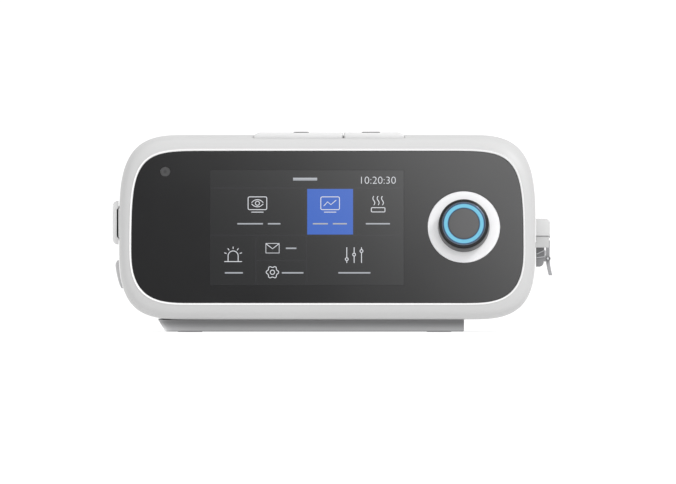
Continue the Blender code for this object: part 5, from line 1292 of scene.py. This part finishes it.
DOOR_INNER = -116.3
DOOR_LOW = 48.7
DOOR_HIGH = 72.6
DOOR_CORNER = 3
FINGER_SLOT = ((-117.3, -57, 52.35), (-115.0, -39, 68.95))
SLOT_FLOOR = ((-116.5, -47.7, 53.2), (-115.7, -38, 68.1))
turn_x = DOOR_INNER - 0.3
door_outline = [(DOOR_INNER, DOOR_HIGH)]
door_outline += arc(turn_x, DOOR_HIGH - DOOR_CORNER, DOOR_CORNER, 90, 180, 12)
door_outline += arc(turn_x, DOOR_LOW + DOOR_CORNER, DOOR_CORNER, 180, 270, 12)
door = side_plate(door_outline + [(DOOR_INNER, DOOR_LOW)], -48, 10)
cut_with(door, slot_cutter(*FINGER_SLOT, 1.8))
join_to(door, slot_cutter(*SLOT_FLOOR, 0.35))
round_edges(door, 0.35, 3)
for z in (68.5, 51.3):
    join_to(door, box_between(at(turn_x, -27, z), at(-113.6, 3.7, z + 1.2)))
settle(door, "door_cover", "filter_door", white_abs, 35)
# The faces towards the front get a brighter white, a painted light, and the walls inside the slot a dark
# grey, a painted shadow.
door.data.materials.append(moulded("door_abs_painted_light", "#ebebeb", "#e7e7e7", 0.42))
door.data.materials.append(moulded("door_slot_painted_shadow", "#5a5a5c", "#525254", 0.5))
SHADED_LOW = (-117.38, -47.9, 52.2)
SHADED_HIGH = (-116.55, -38.5, 69.1)
for face in door.data.polygons:
    place = (face.center - HOUSING) / MM
    if all(low < here < high for low, here, high in zip(SHADED_LOW, place, SHADED_HIGH)):
        face.material_index = 2
    elif face.normal.y < -0.3:
        face.material_index = 1
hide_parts("filter_door")


# Card flap: a soft light grey silicone cover on the left side, moulded, and hinged along its lower edge.
# It follows the curve of the housing and bulges by a couple of millimetres, most near its rounded top.
FLAP_LOW = 24.2
FLAP_RISE = 15.4
FLAP_STEPS = 16
FLAP_ROUND = 2.9
flap_heights = [FLAP_LOW + FLAP_RISE * step / FLAP_STEPS for step in range(FLAP_STEPS + 1)]
flap_loops = []
for y, inward in ((2, 0.8), (1.7, 0.25), (1.0, 0), (-43.0, 0), (-43.7, 0.25), (-44, 0.8)):
    outer, inner = [], []
    for height in flap_heights:
        bulge = 0.8 + 1.4 * ((height - FLAP_LOW) / FLAP_RISE) ** 0.65
        top_round = 1.5 * max(0, (height - FLAP_LOW - FLAP_RISE) / FLAP_ROUND + 1) ** 2
        proud = (bulge - top_round) * (1 - 0.4 * inward)
        seat_x = -body_side(height) - GAP / MM
        outer.append(at(seat_x - proud, y, height))
        inner.append(at(seat_x, y, height))
    flap_loops.append(outer + inner[::-1])
flap = skin(flap_loops)
flap_silicone = moulded(
    "moulded_soft_silicone", "#c8c8c9", "#bfbfc0", 0.6, grain_mm=0.8, depth_mm=0.01, ior=1.42
)
settle(flap, "flap_cover", "card_flap", flap_silicone, 40)
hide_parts("card_flap")


# Drawer front: a white ABS skin, moulded, that carries on the curve of the housing's right side.
# Ribs behind it hold the tub, a plate on it guards the latch in front, and a hairline shows all round it.
SKIN_LOW = 14.3
SKIN_RISE = 35.4
SKIN_STEPS = 28
SKIN_THICK = 2.8
RIB_THICK = 2
skin_heights = [SKIN_LOW + SKIN_RISE * step / SKIN_STEPS for step in range(SKIN_STEPS + 1)]
front_loops = []
for y, back in ((-35.7, 0.35), (-35.45, 0.1), (-35.1, 0), (43.1, 0), (43.45, 0.1), (43.7, 0.35)):
    outer = [at(body_side(height) - back, y, height) for height in skin_heights]
    inner = [at(body_side(height) - SKIN_THICK, y, height) for height in skin_heights]
    front_loops.append(outer + inner[::-1])
drawer = skin(front_loops)
tub_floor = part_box("water_tub")[0].z / MM
lid_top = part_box("tub_lid")[1].z / MM
for z in (tub_floor + 2, lid_top - 4):
    join_to(drawer, box_between(at(103.3, -29.2, z), at(body_side(z) - 1.4, 37.2, z + RIB_THICK)))
guard_outline = [(114.6, 46.5), (123.5, 46.5), (123.5, 52.8), (116.3, 52.8), (116.3, 49.4), (114.6, 49.4)]
guard = side_plate(guard_outline, 19.6, 22.6)
round_edges(guard, 0.3, 3)
join_to(drawer, guard)
settle(drawer, "drawer_skin", "water_drawer", white_abs, 35)
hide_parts("drawer_front")


# Water tub and lid: clear copolyester, injection moulded and polished, over a pressed steel base.
# The clear wall is faintly blue, and the moulding flow shows as a slow ripple.
def clear_plastic(name, colour, roughness):
    material, shader, where = new_material(name, IOR=1.57, Roughness=roughness, Transmission_Weight=0.92)
    flow_scale = 1 / (14 * MM)
    flow = add_node(material, "ShaderNodeTexNoise", {"Scale": flow_scale, "Detail": 2}, {"Vector": where})
    bump = add_node(
        material, "ShaderNodeBump", {"Strength": 0.2, "Distance": 0.1 * MM}, {"Height": flow.outputs["Fac"]}
    )
    mix = add_node(
        material,
        "ShaderNodeMixRGB",
        {"Color1": to_linear(colour), "Color2": to_linear("#f4f8fa")},
        {"Fac": flow.outputs["Fac"]},
    )
    material.node_tree.links.new(mix.outputs["Color"], shader.inputs["Base Color"])
    material.node_tree.links.new(bump.outputs["Normal"], shader.inputs["Normal"])
    return material


dress(clear_plastic("moulded_clear_copolyester", "#e3eef4", 0.08), "water_tub", "tub_lid")


# Latch hood: a small white PBT block, moulded, on the housing above the drawer.
# The lever stands under its lip, a cheek closes it at the back, and its outer top edge is well rounded.
LATCH_INNER = 116.3
HOOD_LOW = 53.1
HOOD_OUTER = 124.1
HOOD_ROUND = 2.6
HOOD_NEAR = 19
HOOD_FAR = 48
round_x = HOOD_OUTER - HOOD_ROUND
round_z = 59.8
hood_outline = [(LATCH_INNER, round_z + HOOD_ROUND), (LATCH_INNER, HOOD_LOW), (HOOD_OUTER, HOOD_LOW)]
hood_outline += arc(round_x, round_z, HOOD_ROUND, 0, 90, 10)
hood = side_plate(hood_outline, HOOD_NEAR, HOOD_FAR)
lip = box_between(at(122.9, 26, 51.7), at(HOOD_OUTER, HOOD_FAR, 53.7))
cheek = box_between(at(LATCH_INNER, 44.6, 46.5), at(123.5, HOOD_FAR, round_z))
join_to(hood, lip, cheek)
round_edges(hood, 0.4, 3)
latch_white = moulded("moulded_white_pbt", "#d0d0d0", "#cccccc", 0.42)
settle(hood, "hood", "housing", latch_white, 40)
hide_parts("latch_hood")


# Latch bracket, pin, spring and lever: a moulded grey POM bracket on the drawer with two ears, a steel pin
# pressed through them, a bent wire spring on its front, and a moulded POM lever that swings on the pin.
# The lever's lower end curves out to a finger tip.
PIN_X = 122.8
PIN_Z = 40.3
PIN_MIDDLE = at(PIN_X, 33, PIN_Z)
PIN_RADIUS = 0.8
PIN_LENGTH = 17
THROUGH = 30 * MM
latch_grey = moulded("moulded_grey_pom", "#8a8a8c", "#808082", 0.42, grain_mm=0.4)
lever_grey = moulded("moulded_light_grey_pom", "#a6a6a9", "#9b9b9e", 0.4, grain_mm=0.4)
BRACKET_NEAR = 24.5
BRACKET_FAR = 41.5
BRACKET_TOP = 46.5
EAR_THICK = 2.7
EAR_ROUND = 1.6
bracket_outline = [(LATCH_INNER, BRACKET_TOP), (LATCH_INNER, 35.8)]
bracket_outline += arc(118.0, 38.4, 2.6, 270, 360, 8)
bracket_outline += [(120.6, 43.5), (119.6, BRACKET_TOP)]
bracket = side_plate(bracket_outline, BRACKET_NEAR, BRACKET_FAR)
for near, upper_x, upper_z in ((BRACKET_NEAR, 120.9, BRACKET_TOP), (BRACKET_FAR - EAR_THICK, 120.0, 42.0)):
    ear_outline = [(119, PIN_Z - EAR_ROUND)] + arc(PIN_X, PIN_Z, EAR_ROUND, 270, 450, 16)
    ear_outline += [(upper_x, PIN_Z + EAR_ROUND), (upper_x, upper_z), (119, upper_z)]
    join_to(bracket, side_plate(ear_outline, near, near + EAR_THICK))
cut_with(bracket, drum((PIN_RADIUS + 0.3) * MM, THROUGH, PIN_MIDDLE, turn=POINT_BACK))
round_edges(bracket, 0.25, 2)
settle(bracket, "bracket", "water_drawer", latch_grey, 40)
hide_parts("latch_bracket")

WIRE_RADIUS = 0.36 * MM
WIRE_Y = BRACKET_NEAR - 0.4
wire_places = [(116.8, 41.0), (120.9, 41.45), (121.33, 41.9), (121.33, 44.5), (120.9, 45.0), (116.8, 42.9)]
wires = []
for (x, z), (next_x, next_z) in zip(wire_places, wire_places[1:]):
    start = at(x, WIRE_Y, z)
    run = at(next_x, WIRE_Y, next_z) - start
    turn = run.to_track_quat("Z", "Y").to_euler()
    wires.append(drum(WIRE_RADIUS, run.length + 0.3 * MM, start + run / 2, 20, turn))
    bpy.ops.object.transform_apply(location=True, rotation=True, scale=True)
join_to(wires[0], *wires[1:])
settle(wires[0], "latch_spring", "water_drawer", turned_steel, 40)

pin = drum(PIN_RADIUS * MM, PIN_LENGTH * MM, PIN_MIDDLE, turn=POINT_BACK)
round_edges(pin, 0.2, 2)
settle(pin, "pin", "water_drawer", turned_steel, 40)
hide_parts("latch_pin")

LEVER_NEAR = 27.5
LEVER_FAR = 38.5
LEVER_INNER = 121.8
LEVER_TOP = 50.4
LEVER_LOW = 31
LEVER_THICK = 2.2
LEVER_TAPER = 0.1
LEVER_REACH = 125.38
LEVER_STEPS = 18
lever_inner, lever_outer = [], []
for step in range(LEVER_STEPS + 1):
    share = step / LEVER_STEPS
    rise = LEVER_TOP + (LEVER_LOW - LEVER_TOP) * share
    below_pin = max(0, (PIN_Z - rise) / (PIN_Z - LEVER_LOW))
    sweep = (LEVER_REACH - LEVER_INNER - LEVER_THICK * (1 - LEVER_TAPER)) * below_pin**1.6
    lever_inner.append((LEVER_INNER + sweep, rise))
    lever_outer.append((LEVER_INNER + sweep + LEVER_THICK * (1 - LEVER_TAPER * share), rise))
lever_outline = [(121.2, LEVER_TOP + 1), (121.2, 49.0)] + lever_inner[2:] + lever_outer[::-1]
lever_outline += [(122.6, LEVER_TOP), (122.6, LEVER_TOP + 1)]
lever = side_plate(lever_outline, LEVER_NEAR, LEVER_FAR)
join_to(lever, drum(EAR_ROUND * MM, (LEVER_FAR - LEVER_NEAR) * MM, PIN_MIDDLE, turn=POINT_BACK))
cut_with(lever, drum((PIN_RADIUS + 0.05) * MM, THROUGH, PIN_MIDDLE, turn=POINT_BACK))
round_edges(lever, 0.25, 2)
settle(lever, "lever", "latch_lever", lever_grey, 40)
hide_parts("latch_lever")


# Hose outlet: a light grey ABS tube, injection moulded, with the 22 mm outer taper of breathing hoses.
# It comes through the rear wall, and a collar holds it from inside.
outlet_profile = [
    (9, -2.6),
    (9, 17.4),
    (9.35, 17.98),
    (10.1, 17.98),
    (10.55, 17.85),
    (10.7, 17.4),
    (11.0, 0),
    (11.0, -3.5),
    (13.0, -3.5),
    (13.0, -5.2),
    (7.8, -5.2),
    (7.8, -18),
    (6, -18),
    (6, -2.6),
    (9, -2.6),
]
outlet = spun(outlet_profile, 96)
turned_back = Matrix.Rotation(-pi / 2, 4, "X") @ Matrix.Scale(MM, 4)
outlet.data.transform(Matrix.Translation(at(*OUTLET)) @ turned_back)
settle(outlet, "hose_outlet", "housing", inner_abs, 35)
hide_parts("outlet_connector")


# Power inlet: a black glass-filled nylon socket for the mains adapter's plug, moulded round its centre pin.
# It is pushed through the rear wall from inside, up to its flange, and ends flush with the wall.
dress(filled_nylon, "power_inlet")


# Studio: a pale floor under a white sky, a broad soft light above, and a graded cloth card in front,
# whose reflection lies across the black panel from upper right.
# The camera is almost level and shows no perspective, as from far away.
pick_none()
bpy.ops.mesh.primitive_plane_add(size=200, location=(0, 0, -0.05 * MM))
floor = bpy.context.object
floor.name = "floor"
floor_paint, shader, where = new_material("matt_white_floor", Roughness=0.9, Emission_Strength=0.8)
shader.inputs["Emission Color"].default_value = (1, 1, 1, 1)
floor_tone = two_tones(floor_paint, where, "#8c8c8c", "#868686", 0.25)
floor_paint.node_tree.links.new(floor_tone, shader.inputs["Base Color"])
floor.data.materials.append(floor_paint)

world = bpy.data.worlds.new("white_studio")
bpy.context.scene.world = world
world.use_nodes = True
world.node_tree.nodes["Background"].inputs["Color"].default_value = (1, 1, 1, 1)
world.node_tree.nodes["Background"].inputs["Strength"].default_value = 0.92


def soft_light(name, place, aim, size, power):
    light = bpy.data.lights.new(name, "AREA")
    light.shape = "RECTANGLE"
    light.size, light.size_y = size
    light.energy = power
    lamp = bpy.data.objects.new(name, light)
    lamp.location = place
    lamp.rotation_euler = (Vector(aim) - Vector(place)).to_track_quat("-Z", "Y").to_euler()
    lamp.visible_camera = False
    bpy.context.collection.objects.link(lamp)


LIT_POINT = (0, 0, 0.05)
soft_light("top_light", (0, -0.2, 1.4), LIT_POINT, (1.6, 1.2), 3.8)
soft_light("key_light", (0.9, -1.0, 1.2), LIT_POINT, (0.35, 0.35), 10)

# Where along the card's slant each strength of light stands.
CARD_STEPS = (
    (0.0, 0.32),
    (0.2, 0.34),
    (0.31, 0.55),
    (0.47, 1.22),
    (0.56, 1.92),
    (0.65, 2.65),
    (0.77, 3.7),
    (1.0, 4.2),
)
CARD_PLACE = (0, -1.55, 0.56)
CARD_SIZE = (1.1, 0.5, 1)
CARD_SLANT = (1, 0.75, 0)
CARD_REACH = 0.17
pick_none()
bpy.ops.mesh.primitive_plane_add(size=1, location=CARD_PLACE, rotation=(radians(110), 0, 0))
card = bpy.context.object
card.scale = CARD_SIZE
card.name = "graded_card"
bpy.ops.object.transform_apply(location=False, rotation=False, scale=True)
card_glow, shader, where = new_material("graded_card_cloth", Roughness=1.0)
shader.inputs["Base Color"].default_value = (0, 0, 0, 1)
shader.inputs["Emission Color"].default_value = (1, 1, 1, 1)
slant = add_node(card_glow, "ShaderNodeVectorMath", {"operation": "DOT_PRODUCT"})
card_glow.node_tree.links.new(where, slant.inputs[0])
slant.inputs[1].default_value = CARD_SLANT
along = add_node(
    card_glow,
    "ShaderNodeMapRange",
    {"From Min": -CARD_REACH, "From Max": CARD_REACH},
    {"Value": slant.outputs["Value"]},
)
steps = add_node(card_glow, "ShaderNodeValToRGB", (), {"Fac": along.outputs["Result"]})
ramp = steps.color_ramp
while len(ramp.elements) < len(CARD_STEPS):
    ramp.elements.new(0.5)
for element, (place, strength) in zip(ramp.elements, CARD_STEPS):
    element.position = place
    element.color = (strength, strength, strength, 1)
card_glow.node_tree.links.new(steps.outputs["Color"], shader.inputs["Emission Color"])
shader.inputs["Emission Strength"].default_value = 1.0
card.data.materials.append(card_glow)
card.visible_camera = False

camera_data = bpy.data.cameras.new("camera")
camera = bpy.data.objects.new("camera", camera_data)
bpy.context.collection.objects.link(camera)
FRAME_WIDTH = 376.7 * MM
FRAME_MIDDLE = (5.96, FRONT_Y / MM, 50.25)
CAMERA_LIFT = radians(0.4)
CAMERA_DISTANCE = 20
camera_data.type = "ORTHO"
camera_data.ortho_scale = FRAME_WIDTH
aim = at(*FRAME_MIDDLE)
camera.location = aim + Vector((0, -cos(CAMERA_LIFT), sin(CAMERA_LIFT))) * CAMERA_DISTANCE
camera.rotation_euler = (aim - camera.location).to_track_quat("-Z", "Y").to_euler()
camera_data.clip_start = 0.1
camera_data.clip_end = 3 * CAMERA_DISTANCE
bpy.context.scene.camera = camera
bpy.context.scene.view_settings.view_transform = "Standard"
